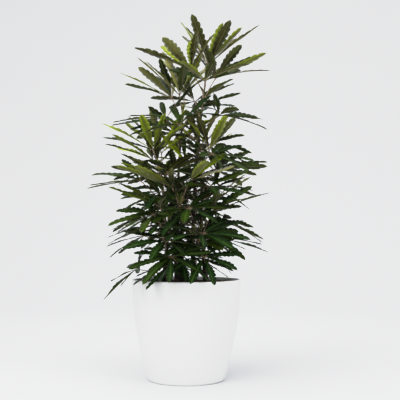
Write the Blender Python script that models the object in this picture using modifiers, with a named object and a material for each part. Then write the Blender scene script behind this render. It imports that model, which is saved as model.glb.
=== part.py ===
"""A potted false aralia at its real size: a round white planter, its soil and ten leafy stems.

Metres, +Z up. The origin is the centre of the planter's flat underside, and the side that faces -Y is the
front. Each stem grew as one piece, so its wood, leaf stalks and toothed leaflets are fused in one solid.
The leaves follow a spiral up their stem, and a leaflet that would cross another is bent clear of it.
Every random draw is seeded, so the plant is the same each time.
"""

import math
import random
from dataclasses import dataclass, replace

import bmesh
import bpy
from mathutils import Vector, noise
from mathutils.bvhtree import BVHTree

# The planter.
POT_HEIGHT = 0.320
POT_TOP_RADIUS = 0.175
POT_BASE_RADIUS = 0.123
POT_SWELL = 1.85  # how full the wall's outward curve is: 1 would be a straight cone
POT_WALL = 0.0045
POT_FLOOR = 0.006
POT_RIM = 0.0075  # the rim is a little thicker than the wall
POT_RIM_DEPTH = 0.012
POT_FOOT_ROUND = 0.006
POT_FOOT_CURVE = ((0.1, 0.3), (0.7, 0.0))  # its points, in and up as shares of the rounding
POT_STEPS = 40
WALL_POINTS = 6

# The soil.
SOIL_BELOW_RIM = 0.014
SOIL_MOUND = 0.006
SOIL_BUMP = 0.0025
SOIL_BUMP_SIZE = 0.028
SOIL_RINGS = 4
SOIL_STEPS = 32
HOLE_SIDES = 12
HOLE_ABOVE = 0.03
GAP = 0.0003  # between pieces that rest on or stand in each other

# The stems.
STEM_BURIED = 0.060
STEM_FOOT_RADIUS = 0.0068
STEM_TIP_RADIUS = 0.0026
STEM_POINTS = 7
CROWN_CENTRE = Vector((0.012, 0.0, 0.0))  # leaves on the outer stems turn away from this line
OUTWARD_FULL = 0.10  # a stem this far from the centre has its leaves turned furthest outwards
OUTWARD_PULL = 0.42
TOP_LEAF = 0.985  # the uppermost leaf stands this far up the stem, as a share of its length

# A leaf changes with its age: rows of three give it when young, at middle age and when old.
GOLDEN_ANGLE = math.radians(137.5)
TIP_CROWDING = 1.5  # 1 would space a stem's leaves evenly
STALK_LENGTH = (0.085, 0.102, 0.085)
STALK_RISE = (math.radians(78), math.radians(50), math.radians(36))
STALK_SAG = math.radians(14)
STALK_FOOT_RADIUS = 0.0022
STALK_TIP_RADIUS = 0.0014
STALK_POINTS = 3
AXIS_AHEAD = 0.9  # a whorl's axis leans along its stalk and up, in these shares
AXIS_UP = 0.75
LEAFLETS = (6, 8, 8)
LEFT_OUT = (2, 6)  # the leaflets of a whorl, counted round it, that are too many for a solid
FEWEST_LEAFLETS = 3
LEAFLET_LENGTH = (0.205, 0.183, 0.148)
LEAFLET_WIDTH = (0.0340, 0.0310, 0.0265)
LEAFLET_STALK = 0.06  # the share of its length over which a leaflet is only a short stalk
WHORL_OPENING = (math.radians(34), math.radians(64), math.radians(76))  # from the whorl's axis
WHORL_FAN = math.radians(275)
SINUS_SHARE = 0.05  # the blades part this far out along their ribs
DROOP = (math.radians(12), math.radians(22), math.radians(20))
ROLL_REACH = 0.3  # a blade has turned by all of its roll at this share of its length
BACK_SHORTER = 0.34  # leaflets at the back of a whorl are shorter and narrower by these shares
BACK_POWER = 1.4
BACK_NARROWER = 0.25
HUB_RADIUS = 0.0060
HUB_HALF_THICKNESS = 0.0020
RIB_HALF_THICKNESS = 0.0011
KEEL = 0.16  # how deep the blade folds along its rib, as a share of its half width
RIB_SHARES = (0.40, 0.75)
TEETH = 3
TOOTH_FIRST = 0.40
TOOTH_STEP = 0.21
TOOTH_NOTCH = 0.035  # from a tooth's point to the notch before the next, along the blade
TOOTH_DEPTH = 0.30
WIDEST_A = 1.0  # powers of the blade's outline, which is widest at A / (A + B) of its length
WIDEST_B = 0.64

# How far a leaf strays from the rules above, drawn at random: either way, or between two factors.
BEARING_STRAY = 0.2
RISE_STRAY = 0.12
STALK_STRAY = (0.85, 1.12)
WHORL_STRAY = (0.92, 1.08)
TURN_STRAY = 0.07
DROOP_STRAY = (0.6, 1.4)
ROLL_STRAY = 0.45
LENGTH_STRAY = (0.93, 1.07)
WIDTH_STRAY = (0.85, 1.12)

# Room that the leaves leave each other.
CLEAR = 0.0013
ROOTS_APART = math.radians(20)  # between the leaflets of one whorl
SHORTENING = (1.0, 0.88, 0.76, 0.64)  # tried in turn where a leaflet has no room
STALK_TRIES = 8
STALK_TRY = 0.09
LEAFLET_TRIES = 3
LEAFLET_TRY = 0.11
WHORL_SLEEVE_START = 0.13  # where a leaflet starts to keep clear of the others of its whorl
ROOT_HALF_WIDTH = 0.0045  # of the solid blade beside its hub
STALK_SLEEVE_END = 0.93
POT_SLEEVE_STEPS = 24
POT_SLEEVE_FOOT = 0.6  # of the planter's height
POT_SLEEVE_MIDDLE = 0.01

SHARP_EDGE = math.radians(35)  # faces that meet at more than this are not shaded as one


@dataclass(frozen=True)
class Stem:
    """One leafy stem: where it stands, how tall it is and how its leaves start."""

    name: str
    foot: tuple  # where it leaves the soil, across and back from the pot's axis
    tip: tuple
    bow: tuple  # how far its middle leans out of line, across and back
    leaves: int
    lowest: float  # height of its lowest leaf's foot
    turn: float  # bearing of its lowest leaf, in degrees from +X towards +Y
    seed: int
    hang: float = 0.0  # how many degrees its lowest leaf hangs below the others' rule


STEMS = (
    Stem("leafy_stem_tall", (0.02, 0.01), (0.061, -0.021, 0.954), (-0.012, 0), 14, 0.456, 103, 351),
    Stem("leafy_stem_tall_left", (-0.022, 0.02), (-0.012, 0.035, 0.868), (-0.012, 0.01), 12, 0.434, 355, 464),
    Stem("leafy_stem_left", (-0.06, -0.01), (-0.083, -0.006, 0.662), (0.004, 0), 9, 0.367, 0, 702),
    Stem("leafy_stem_right", (0.06, 0.015), (0.049, 0.006, 0.676), (-0.004, 0), 8, 0.404, 220, 576),
    Stem("leafy_stem_front", (-0.01, -0.06), (-0.019, -0.065, 0.554), (0, 0.006), 7, 0.355, 240, 15),
    Stem("leafy_stem_back", (0.02, 0.07), (0.025, 0.085, 0.678), (0, -0.006), 6, 0.408, 270, 337),
    Stem("leafy_stem_low_right", (0.065, -0.045), (0.047, -0.037, 0.47), (0, 0), 5, 0.356, 255, 480),
    Stem("leafy_stem_low_left", (-0.07, -0.05), (-0.057, -0.073, 0.494), (0, 0), 5, 0.335, 185, 972, 20),
    Stem("leafy_stem_low_front", (0.028, -0.082), (0.022, -0.085, 0.456), (0, 0), 4, 0.347, 155, 196),
    Stem("leafy_stem_low_back", (-0.035, 0.078), (-0.044, 0.084, 0.595), (0, 0), 6, 0.345, 335, 527),
)


@dataclass(frozen=True)
class Stalk:
    """A leaf stalk: an arc that leaves the stem and sags towards its tip."""

    root: Vector
    heading: float
    rise: float
    sag: float
    length: float


@dataclass(frozen=True)
class Leaflet:
    """One blade of a leaf: an arc from the whorl's hub, with its width and its roll about its own rib."""

    number: int  # counted round the whorl
    root: Vector
    facing: Vector  # the whorl's axis, which the blade's upper face looks along
    heading: float
    rise: float
    droop: float
    roll: float
    length: float
    width: float


@dataclass
class Leaf:
    """A stalk with the whorl of leaflets at its tip. Age runs from 0, at the stem's tip, to 1."""

    label: str
    stalk: Stalk
    age: float
    axis: Vector
    hub: Vector
    leaflets: list


def between(pair, share):
    """The value at a share of the way from the pair's first to its second."""
    return pair[0] + (pair[1] - pair[0]) * share


def at_age(values, age):
    """The value at an age from 0 to 1, between those of a young, a middle-aged and an old leaf."""
    if age < 0.5:
        return between(values[:2], age * 2)
    return between(values[1:], age * 2 - 1)


def arc_point(root, heading, rise, bend, distance, share):
    """The point and the direction's rise at a share of the way along an arc that bends down by bend."""
    bend = max(bend, 1e-3)
    now = rise - bend * share
    out = distance * (math.sin(rise) - math.sin(now)) / bend
    up = distance * (math.cos(now) - math.cos(rise)) / bend
    return root + Vector((math.cos(heading) * out, math.sin(heading) * out, up)), now


def stem_point(stem, share):
    """A point on the stem's line, from the rim's level at 0 to its growing tip at 1."""
    foot = Vector((stem.foot[0], stem.foot[1], POT_HEIGHT))
    tip = Vector(stem.tip)
    bow = Vector((stem.bow[0], stem.bow[1], 0)) * math.sin(math.pi * share)
    return foot.lerp(tip, share) + bow


def stem_radius(share):
    """The stem tapers evenly from its foot to its tip."""
    return between((STEM_FOOT_RADIUS, STEM_TIP_RADIUS), share)


def blade_half_width(leaflet, share):
    """Half the blade's width over its teeth: it widens past its short stalk, and ends in a blunt point."""
    widest = WIDEST_A / (WIDEST_A + WIDEST_B)
    peak = widest**WIDEST_A * (1 - widest) ** WIDEST_B
    green = max(0.0, (share - LEAFLET_STALK) / (1 - LEAFLET_STALK))
    return leaflet.width / 2 * green**WIDEST_A * (1 - green) ** WIDEST_B / peak


def blade_point(leaflet, along, across, lift):
    """The place of a point of the blade: along its rib as a share, across it and above it in metres."""
    point, rise = arc_point(
        leaflet.root, leaflet.heading, leaflet.rise, leaflet.droop, leaflet.length, along
    )
    outward = Vector((math.cos(leaflet.heading), math.sin(leaflet.heading), 0))
    ahead = outward * math.cos(rise) + Vector((0, 0, math.sin(rise)))
    upper = (leaflet.facing - ahead * leaflet.facing.dot(ahead)).normalized()
    side = upper.cross(ahead)
    turn = leaflet.roll * min(1.0, along / ROLL_REACH)
    across_way = side * math.cos(turn) + upper * math.sin(turn)
    lift_way = upper * math.cos(turn) - side * math.sin(turn)
    return point + across_way * across + lift_way * lift


def tube_mesh(points, radii, sides=4):
    """Corners and faces of a plain open tube, which only tests whether two pieces cross."""
    corners = []
    for index, point in enumerate(points):
        ahead = points[min(index + 1, len(points) - 1)] - points[max(index - 1, 0)]
        across = ahead.orthogonal().normalized()
        second = ahead.normalized().cross(across)
        for side in range(sides):
            angle = math.tau * side / sides
            corners.append(point + (across * math.cos(angle) + second * math.sin(angle)) * radii[index])
    faces = []
    for ring in range(len(points) - 1):
        for side in range(sides):
            a = ring * sides + side
            b = ring * sides + (side + 1) % sides
            faces.append((a, b, b + sides, a + sides))
    return corners, faces


class Obstacle:
    """A simple hull round a piece, with its box, that tells whether another one crosses it."""

    def __init__(self, corners, faces, owner, inner=False):
        self.tree = BVHTree.FromPolygons(corners, faces)
        self.low = [min(c[i] for c in corners) for i in range(3)]
        self.high = [max(c[i] for c in corners) for i in range(3)]
        self.owner = owner
        self.inner = inner  # it counts for the pieces of its own owner only

    def within(self, centre, reach):
        """Whether the hull's box comes that near a point, along each axis."""
        return all(self.low[i] < centre[i] + reach and self.high[i] > centre[i] - reach for i in range(3))

    def crosses(self, other):
        """Whether the two hulls' faces cut each other."""
        for i in range(3):
            if self.low[i] > other.high[i] or other.low[i] > self.high[i]:
                return False
        return bool(self.tree.overlap(other.tree))


def rib_corners(leaflet):
    """The middle of the solid blade at its few rib points, from its root to its tip."""
    middle = [leaflet.root]
    for share in RIB_SHARES:
        middle.append(blade_point(leaflet, share, 0, -KEEL * blade_half_width(leaflet, share)))
    return middle + [blade_point(leaflet, 1.0, 0, 0)]


def leaflet_sleeve(leaflet, label, inner):
    """A flat sleeve round a leaflet, CLEAR of its faces. An inner one leaves out its narrow root."""
    start, least = (WHORL_SLEEVE_START, 0.0) if inner else (0.0, ROOT_HALF_WIDTH)
    stops = (0.0, *RIB_SHARES, 1.0)
    middle = rib_corners(leaflet)
    stations = (start, *(TOOTH_FIRST + TOOTH_STEP * tooth for tooth in range(TEETH)), 1.0)
    corners = []
    for share in stations:
        part = max(i for i in range(len(RIB_SHARES) + 1) if stops[i] <= share)
        reach = (share - stops[part]) / (stops[part + 1] - stops[part])
        rib = middle[part].lerp(middle[part + 1], reach)
        half = max(least, blade_half_width(leaflet, share)) + CLEAR
        up = blade_point(leaflet, share, 0, RIB_HALF_THICKNESS + CLEAR) - blade_point(leaflet, share, 0, 0)
        corners.append(blade_point(leaflet, share, half, 0))
        corners.append(rib + up)
        corners.append(blade_point(leaflet, share, -half, 0))
        corners.append(rib - up)
    faces = []
    for ring in range(len(stations) - 1):
        for side in range(4):
            a = ring * 4 + side
            b = ring * 4 + (side + 1) % 4
            faces.append((a, b, b + 4, a + 4))
    return Obstacle(corners, faces, label, inner)


def stalk_end(stalk, share=1.0):
    """The point at the stalk's tip, or at a share of its length, and its rise there."""
    return arc_point(stalk.root, stalk.heading, stalk.rise, stalk.sag, stalk.length, share)


def stalk_line(stalk, to=1.0):
    """Points along a stalk, from inside the stem to its share `to`."""
    shares = [to * i / (STALK_POINTS - 1) for i in range(STALK_POINTS)]
    return [stalk_end(stalk, share)[0] for share in shares]


def stalk_sleeve(stalk, owner):
    """A tube round the stalk that stops short of the whorl."""
    points = stalk_line(stalk, STALK_SLEEVE_END)
    return Obstacle(*tube_mesh(points, [STALK_FOOT_RADIUS + CLEAR] * len(points)), owner)


def hub_sleeve(stalk, owner):
    """An eight-sided hull round the whorl's hub and the roots of its leaflets."""
    hub = stalk_end(stalk)[0]
    reach = HUB_RADIUS + 2 * CLEAR
    ends = [(0, 0, reach), (0, 0, -reach)]
    ring = [(reach, 0, 0), (0, reach, 0), (-reach, 0, 0), (0, -reach, 0)]
    corners = [hub + Vector(way) for way in ends + ring]
    faces = [(end, 2 + i, 2 + (i + 1) % 4) for end in range(2) for i in range(4)]
    return Obstacle(corners, faces, owner)


def stem_sleeve(stem):
    """A tube round a stem's whole length."""
    shares = [i / (STEM_POINTS - 1) for i in range(STEM_POINTS)]
    points = [stem_point(stem, s) for s in shares]
    return Obstacle(*tube_mesh(points, [stem_radius(s) + CLEAR for s in shares], 6), stem.name)


def pot_sleeve():
    """The planter's inner and outer wall and its soil, as far as leaves can reach them."""
    steps = POT_SLEEVE_STEPS
    foot = POT_SLEEVE_FOOT * POT_HEIGHT
    levels = (
        (POT_SLEEVE_MIDDLE, POT_HEIGHT - SOIL_BELOW_RIM + SOIL_MOUND + SOIL_BUMP + CLEAR),
        (POT_TOP_RADIUS - POT_RIM - CLEAR, POT_HEIGHT - SOIL_BELOW_RIM + CLEAR),
        (POT_TOP_RADIUS - POT_RIM - CLEAR, POT_HEIGHT + CLEAR),
        (POT_TOP_RADIUS + CLEAR, POT_HEIGHT + CLEAR),
        (wall_radius(foot) + CLEAR, foot),
    )
    corners = []
    for radius, height in levels:
        for step in range(steps):
            angle = math.tau * step / steps
            reach = radius / math.cos(math.pi / steps)
            corners.append(Vector((math.cos(angle) * reach, math.sin(angle) * reach, height)))
    faces = []
    for ring in range(len(levels) - 1):
        for step in range(steps):
            a = ring * steps + step
            b = ring * steps + (step + 1) % steps
            faces.append((a, b, b + steps, a + steps))
    return Obstacle(corners, faces, "pot")


def turned_outwards(root, bearing):
    """A bearing on an outer stem, drawn round so that its leaves spread to the free side."""
    out = Vector((root.x, root.y, 0)) - CROWN_CENTRE
    pull = min(1.0, out.length / OUTWARD_FULL)
    away = math.atan2(out.y, out.x)
    off = (bearing - away + math.pi) % math.tau - math.pi
    return away + off * (1 - OUTWARD_PULL * pull)


def planned_stalk(stem, index, draw):
    """The stalk that the spiral gives leaf number index, counted from the lowest."""
    age = 1 - index / (stem.leaves - 1)
    first = (stem.lowest - POT_HEIGHT) / (stem.tip[2] - POT_HEIGHT)
    share = between((first, TOP_LEAF), 1 - age**TIP_CROWDING)
    root = stem_point(stem, share)
    bearing = math.radians(stem.turn) + index * GOLDEN_ANGLE + draw.uniform(-BEARING_STRAY, BEARING_STRAY)
    heading = turned_outwards(root, bearing)
    rise = at_age(STALK_RISE, age) + draw.uniform(-RISE_STRAY, RISE_STRAY)
    if index == 0:
        rise -= math.radians(stem.hang)
    length = at_age(STALK_LENGTH, age) * draw.uniform(*STALK_STRAY)
    return Stalk(root, heading, rise, STALK_SAG, length), age


def planned_leaflets(stalk, age, draw):
    """The whorl's hub and axis, and its leaflets as they would stand with nothing in their way."""
    hub, rise = stalk_end(stalk)
    outward = Vector((math.cos(stalk.heading), math.sin(stalk.heading), 0))
    ahead = outward * math.cos(rise) + Vector((0, 0, math.sin(rise)))
    axis = (ahead * AXIS_AHEAD + Vector((0, 0, AXIS_UP))).normalized()
    opening = at_age(WHORL_OPENING, age)
    count = round(at_age(LEAFLETS, age))
    size = at_age(LEAFLET_LENGTH, age) * draw.uniform(*WHORL_STRAY)
    width = at_age(LEAFLET_WIDTH, age)
    front = (outward - axis * outward.dot(axis)).normalized()
    side = axis.cross(front)
    leaflets = []
    for number in range(count):
        turn = WHORL_FAN * (number / (count - 1) - 0.5) + draw.uniform(-TURN_STRAY, TURN_STRAY)
        spread = front * math.cos(turn) + side * math.sin(turn)
        way = axis * math.cos(opening) + spread * math.sin(opening)
        back = abs(turn) / math.pi
        leaflets.append(
            Leaflet(
                number=number,
                root=hub,
                facing=axis,
                heading=math.atan2(way.y, way.x),
                rise=math.asin(max(-1.0, min(1.0, way.z))),
                droop=at_age(DROOP, age) * draw.uniform(*DROOP_STRAY),
                roll=draw.uniform(-ROLL_STRAY, ROLL_STRAY),
                length=size * (1 - BACK_SHORTER * back**BACK_POWER) * draw.uniform(*LENGTH_STRAY),
                width=width * (1 - BACK_NARROWER * back) * draw.uniform(*WIDTH_STRAY),
            )
        )
    return hub, axis, leaflets


def ways_round(steps, size):
    """Small turns to try in order, widening on both sides: no turn first."""
    found = [(0.0, 0.0)]
    for step in range(1, steps + 1):
        reach = step * size
        found += [(reach, 0.0), (-reach, 0.0), (0.0, reach), (0.0, -reach)]
        found += [(reach, reach), (-reach, -reach)]
    return found


def placed_stalk(stalk, stem, label, obstacles):
    """The stalk turned as little as it takes to clear the rest, and the sleeves round it and its hub."""
    for turn, lift in ways_round(STALK_TRIES, STALK_TRY):
        tried = replace(stalk, heading=stalk.heading + turn, rise=stalk.rise + lift)
        tube = stalk_sleeve(tried, stem.name)
        hub = hub_sleeve(tried, label)
        if any(tube.crosses(other) for other in obstacles if other.owner != stem.name):
            continue
        if not any(hub.crosses(other) for other in obstacles):
            return tried, [tube, hub]
    return None, []


def root_way(leaflet):
    """The direction in which a leaflet leaves its hub."""
    outward = Vector((math.cos(leaflet.heading), math.sin(leaflet.heading), 0))
    return outward * math.cos(leaflet.rise) + Vector((0, 0, math.sin(leaflet.rise)))


def placed_leaflet(leaflet, kept, label, obstacles):
    """The leaflet bent, and then shortened, as little as it takes to clear the rest and those kept."""
    near = [piece for piece in obstacles if piece.within(leaflet.root, leaflet.length + CLEAR)]
    others = [piece for piece in near if piece.owner != label and not piece.inner]
    beside = [piece for piece in near if piece.owner == label and piece.inner]
    for scale in SHORTENING:
        for turn, lift in ways_round(LEAFLET_TRIES, LEAFLET_TRY):
            tried = replace(
                leaflet,
                heading=leaflet.heading + turn,
                rise=leaflet.rise + lift,
                length=leaflet.length * scale,
            )
            if any(root_way(tried).angle(root_way(other)) < ROOTS_APART for other in kept):
                continue
            inner = leaflet_sleeve(tried, label, True)
            if any(inner.crosses(other) for other in beside):
                continue
            outer = leaflet_sleeve(tried, label, False)
            if not any(outer.crosses(other) for other in others):
                return tried, [inner, outer]
    return None, []


def grown_leaves():
    """Every stem's leaves, each piece clear of all the others. A blade with no free way is left out."""
    obstacles = [pot_sleeve()] + [stem_sleeve(stem) for stem in STEMS]
    drafts = []
    for stem in STEMS:
        draw = random.Random(stem.seed)
        for index in reversed(range(stem.leaves)):
            label = f"{stem.name}_leaf_{index}"
            planned, age = planned_stalk(stem, index, draw)
            stalk, sleeves = placed_stalk(planned, stem, label, obstacles)
            obstacles += sleeves
            if stalk:
                drafts.append((stem, label, stalk, age, draw))
    grown = {stem.name: [] for stem in STEMS}
    for stem, label, stalk, age, draw in drafts:
        hub, axis, leaflets = planned_leaflets(stalk, age, draw)
        kept = []
        for leaflet in leaflets:
            placed, sleeves = placed_leaflet(leaflet, kept, label, obstacles)
            if placed:
                obstacles += sleeves
                kept.append(placed)
        if len(kept) >= FEWEST_LEAFLETS:
            grown[stem.name].append(Leaf(label, stalk, age, axis, hub, kept))
    return grown


def plain_material(name, colour, roughness):
    """A Principled BSDF in one colour."""
    material = bpy.data.materials.new(name)
    material.use_nodes = True
    shader = material.node_tree.nodes["Principled BSDF"]
    shader.inputs["Base Color"].default_value = (*colour, 1.0)
    shader.inputs["Roughness"].default_value = roughness
    material.diffuse_color = (*colour, 1.0)
    return material


def in_collection(name, obj):
    """Moves an object to the collection of that name, which is made when it is first asked for."""
    collection = bpy.data.collections.get(name)
    if collection is None:
        collection = bpy.data.collections.new(name)
        bpy.context.scene.collection.children.link(collection)
    for other in list(obj.users_collection):
        other.objects.unlink(obj)
    collection.objects.link(obj)
    return collection


def new_object(name, mesh):
    """An object that holds the mesh, in the scene."""
    obj = bpy.data.objects.new(name, mesh)
    bpy.context.scene.collection.objects.link(obj)
    return obj


def evaluated_mesh(obj):
    """The mesh that the object's modifiers or its bevel make."""
    graph = bpy.context.evaluated_depsgraph_get()
    return bpy.data.meshes.new_from_object(obj.evaluated_get(graph), depsgraph=graph)


def shade_smooth(mesh):
    """Shades round faces as one, but not across the edges."""
    mesh.shade_smooth()
    mesh.set_sharp_from_angle(angle=SHARP_EDGE)


def turned(name, profile, steps):
    """A mesh turned from a profile of (radius, height) that runs down its outer side."""
    mesh = bpy.data.meshes.new(name)
    edges = [(i, i + 1) for i in range(len(profile) - 1)]
    mesh.from_pydata([(radius, 0, height) for radius, height in profile], edges, [])
    blank = new_object(name, mesh)
    screw = blank.modifiers.new("Turn", "SCREW")
    screw.steps = steps
    screw.render_steps = steps
    screw.use_merge_vertices = True
    screw.merge_threshold = 0.00005
    full = evaluated_mesh(blank)
    bpy.data.objects.remove(blank)
    return full


def tube(name, points, radii, resolution):
    """A tapered tube along the points, as a mesh with closed ends."""
    curve = bpy.data.curves.new(name, "CURVE")
    curve.dimensions = "3D"
    curve.bevel_depth = 1.0
    curve.bevel_resolution = resolution
    curve.use_fill_caps = True
    spline = curve.splines.new("POLY")
    spline.points.add(len(points) - 1)
    for target, point, radius in zip(spline.points, points, radii):
        target.co = (*point, 1.0)
        target.radius = radius
    guide = new_object(name + "_line", curve)
    mesh = evaluated_mesh(guide)
    weld_and_face_out(mesh)
    bpy.data.objects.remove(guide)
    return new_object(name, mesh)


def weld_and_face_out(mesh):
    """Joins corners that coincide and points every face outwards."""
    work = bmesh.new()
    work.from_mesh(mesh)
    bmesh.ops.remove_doubles(work, verts=work.verts, dist=1e-6)
    bmesh.ops.recalc_face_normals(work, faces=work.faces)
    work.to_mesh(mesh)
    work.free()


def wall_radius(height):
    """The planter's outer radius: it swells quickly off its foot and runs nearly upright to the rim."""
    share = height / POT_HEIGHT
    return POT_BASE_RADIUS + (POT_TOP_RADIUS - POT_BASE_RADIUS) * (1 - (1 - share) ** POT_SWELL)


def pot():
    """The planter: a swelling wall on a flat foot, open at the top, with a thicker rounded rim."""
    ends = (POT_FLOOR, POT_HEIGHT - POT_RIM_DEPTH)
    heights = [between(ends, i / (WALL_POINTS - 1)) for i in range(WALL_POINTS)]
    inside = [(0, POT_FLOOR)] + [(wall_radius(z) - POT_WALL, z) for z in heights]
    inside[1] = (wall_radius(0) - POT_WALL, POT_FLOOR)
    lip = POT_RIM / 3
    rim = [
        (POT_TOP_RADIUS - POT_RIM, POT_HEIGHT - POT_RIM_DEPTH + lip),
        (POT_TOP_RADIUS - POT_RIM, POT_HEIGHT - lip),
        (POT_TOP_RADIUS - POT_RIM + lip, POT_HEIGHT),
        (POT_TOP_RADIUS - lip, POT_HEIGHT),
        (POT_TOP_RADIUS, POT_HEIGHT - lip),
    ]
    outside = [(wall_radius(z), z) for z in reversed(heights[1:])]
    curve = [(wall_radius(0) - POT_FOOT_ROUND * x, POT_FOOT_ROUND * z) for x, z in POT_FOOT_CURVE]
    foot = [(wall_radius(POT_FOOT_ROUND), POT_FOOT_ROUND), *curve, (0, 0)]
    obj = new_object("pot", turned("pot", inside + rim + outside + foot, POT_STEPS))
    shade_smooth(obj.data)
    obj.data.materials.append(plain_material("white_planter_plastic", (0.86, 0.86, 0.86), 0.45))
    return obj


def soil_height(x, y):
    """The soil's surface: a low mound with lumps in it."""
    reach = math.hypot(x, y) / POT_TOP_RADIUS
    lump = noise.noise(Vector((x, y, 0)) / SOIL_BUMP_SIZE)
    return POT_HEIGHT - SOIL_BELOW_RIM + SOIL_MOUND * (1 - reach**2) + SOIL_BUMP * lump


def soil():
    """The soil: it fills the planter to a little below the rim, with a plain hole for each stem."""
    top = POT_HEIGHT - SOIL_BELOW_RIM
    bottom = POT_FLOOR + GAP
    edge = wall_radius(top) - POT_WALL - 3 * GAP
    levels = [between((top, bottom), i / (WALL_POINTS - 1)) for i in range(WALL_POINTS)]
    rings = [(edge * i / SOIL_RINGS, top) for i in range(SOIL_RINGS)]
    side = [(edge, top)] + [(wall_radius(z) - POT_WALL - 3 * GAP, z) for z in levels[1:-1]]
    base = [(wall_radius(0) - POT_WALL - 3 * GAP, bottom), (0, bottom)]
    mesh = turned("soil", rings + side + base, SOIL_STEPS)
    for vertex in mesh.vertices:
        if vertex.co.z > top - 1e-5:
            vertex.co.z = soil_height(vertex.co.x, vertex.co.y)
    shade_smooth(mesh)
    obj = new_object("soil", mesh)
    obj.data.materials.append(plain_material("dark_potting_soil", (0.035, 0.025, 0.018), 0.95))
    for stem in STEMS:
        depth = STEM_BURIED + GAP + HOLE_ABOVE
        bpy.ops.mesh.primitive_cylinder_add(
            vertices=HOLE_SIDES,
            radius=STEM_FOOT_RADIUS + 2 * GAP,
            depth=depth,
            location=(*stem.foot, top + HOLE_ABOVE - depth / 2),
        )
        cutter = bpy.context.object
        cutter.name = "hole_" + stem.name
        cutter.hide_render = True
        cutter.display_type = "WIRE"
        in_collection("cutters", cutter)
        cut = obj.modifiers.new("Hole", "BOOLEAN")
        cut.operation = "DIFFERENCE"
        cut.object = cutter
    return obj


def toothed_edge(leaflet):
    """One edge of a blade from its first tooth to its tip: share along the rib, and distance across it."""
    edge = []
    for tooth in range(TEETH):
        point = TOOTH_FIRST + TOOTH_STEP * tooth
        edge.append((point, blade_half_width(leaflet, point)))
        if tooth < TEETH - 1:
            notch = point + TOOTH_NOTCH
            edge.append((notch, blade_half_width(leaflet, notch) * (1 - TOOTH_DEPTH)))
    return edge + [(1.0, 0.0)]


def strip_between(rib, edge):
    """Triangles that fill the strip between a rib and an edge which end in the same point.

    Both are shares along the blade, in order. Each triangle is three numbers into the rib's points
    followed by the edge's, and has a corner on the rib.
    """
    triangles = []
    near, far = 0, 0
    while far < len(edge) - 1:
        if near < len(rib) - 1 and rib[near + 1] <= edge[far + 1]:
            triangles.append((near, near + 1, len(rib) + far))
            near += 1
        else:
            triangles.append((near, len(rib) + far, len(rib) + far + 1))
            far += 1
    return triangles


def way_in_whorl(leaf, blade):
    """The leaflet's bearing about the whorl's axis, and its angle from that axis."""
    start = leaf.axis.orthogonal().normalized()
    way = root_way(blade)
    return math.atan2(way.dot(leaf.axis.cross(start)), way.dot(start)), way.angle(leaf.axis)


def sinus_between(leaf, first, second):
    """Where two blades part: between their bearings, going round from the first to the second."""
    gap = (second[0] - first[0]) % math.tau
    bearing = first[0] + gap / 2
    opening = (first[1] + second[1]) / 2
    start = leaf.axis.orthogonal().normalized()
    spread = start * math.cos(bearing) + leaf.axis.cross(start) * math.sin(bearing)
    return leaf.hub + (leaf.axis * math.cos(opening) + spread * math.sin(opening)) * HUB_RADIUS


def whorl(name, leaf):
    """The leaflets of one leaf, joined at their hub, in one closed mesh. Two of a full whorl are left out.

    The upper and the under side are split into the same triangles, so that they never cross.
    """
    work = bmesh.new()
    kept = [blade for blade in leaf.leaflets if blade.number not in LEFT_OUT]
    count = len(kept)
    ordered = sorted(kept, key=lambda blade: way_in_whorl(leaf, blade))
    ways = [way_in_whorl(leaf, blade) for blade in ordered]
    for number, blade in enumerate(ordered):
        toothed = toothed_edge(blade)
        shares = [SINUS_SHARE] + [along for along, _ in toothed]
        triangles = strip_between([0.0, *RIB_SHARES], shares)
        after = sinus_between(leaf, ways[number], ways[(number + 1) % count])
        before = sinus_between(leaf, ways[number - 1], ways[number])
        for side, sinus in ((1, after), (-1, before)):
            edge = [sinus] + [blade_point(blade, along, side * across, 0) for along, across in toothed]
            for lift in (1, -1):
                rib = [leaf.hub + leaf.axis * HUB_HALF_THICKNESS * lift]
                for share in RIB_SHARES:
                    keel = KEEL * blade_half_width(blade, share)
                    rib.append(blade_point(blade, share, 0, RIB_HALF_THICKNESS * lift - keel))
                verts = [work.verts.new(place) for place in rib + edge]
                for triangle in triangles:
                    work.faces.new([verts[i] for i in triangle])
    bmesh.ops.remove_doubles(work, verts=work.verts, dist=1e-6)
    bmesh.ops.recalc_face_normals(work, faces=work.faces)
    mesh = bpy.data.meshes.new(name)
    work.to_mesh(mesh)
    work.free()
    return new_object(name, mesh)


def leafy_stem(stem, leaves):
    """A stem with its leaves, fused in one solid."""
    buried = Vector((*stem.foot, POT_HEIGHT - SOIL_BELOW_RIM - STEM_BURIED))
    shares = [i / (STEM_POINTS - 1) for i in range(STEM_POINTS)]
    points = [buried] + [stem_point(stem, s) for s in shares]
    radii = [STEM_FOOT_RADIUS] + [stem_radius(s) for s in shares]
    wood = tube(stem.name, points, radii, 1)
    joined = None
    for leaf in leaves:
        line = stalk_line(leaf.stalk)
        ends = (STALK_FOOT_RADIUS, STALK_TIP_RADIUS)
        girth = [between(ends, i / (STALK_POINTS - 1)) for i in range(STALK_POINTS)]
        joined = in_collection("joining", tube(leaf.label + "_stalk", line, girth, 0))
        in_collection("joining", whorl(leaf.label, leaf))
    union = wood.modifiers.new("Join", "BOOLEAN")
    union.operation = "UNION"
    union.operand_type = "COLLECTION"
    union.collection = joined
    union.solver = "EXACT"
    bpy.context.view_layer.update()
    wood.data = evaluated_mesh(wood)
    wood.modifiers.clear()
    for piece in list(joined.objects):
        bpy.data.objects.remove(piece)
    bpy.data.collections.remove(joined)
    wood.data.materials.clear()
    wood.data.materials.append(plain_material(stem.name + "_green", (0.05, 0.065, 0.035), 0.5))
    shade_smooth(wood.data)
    return wood


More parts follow.
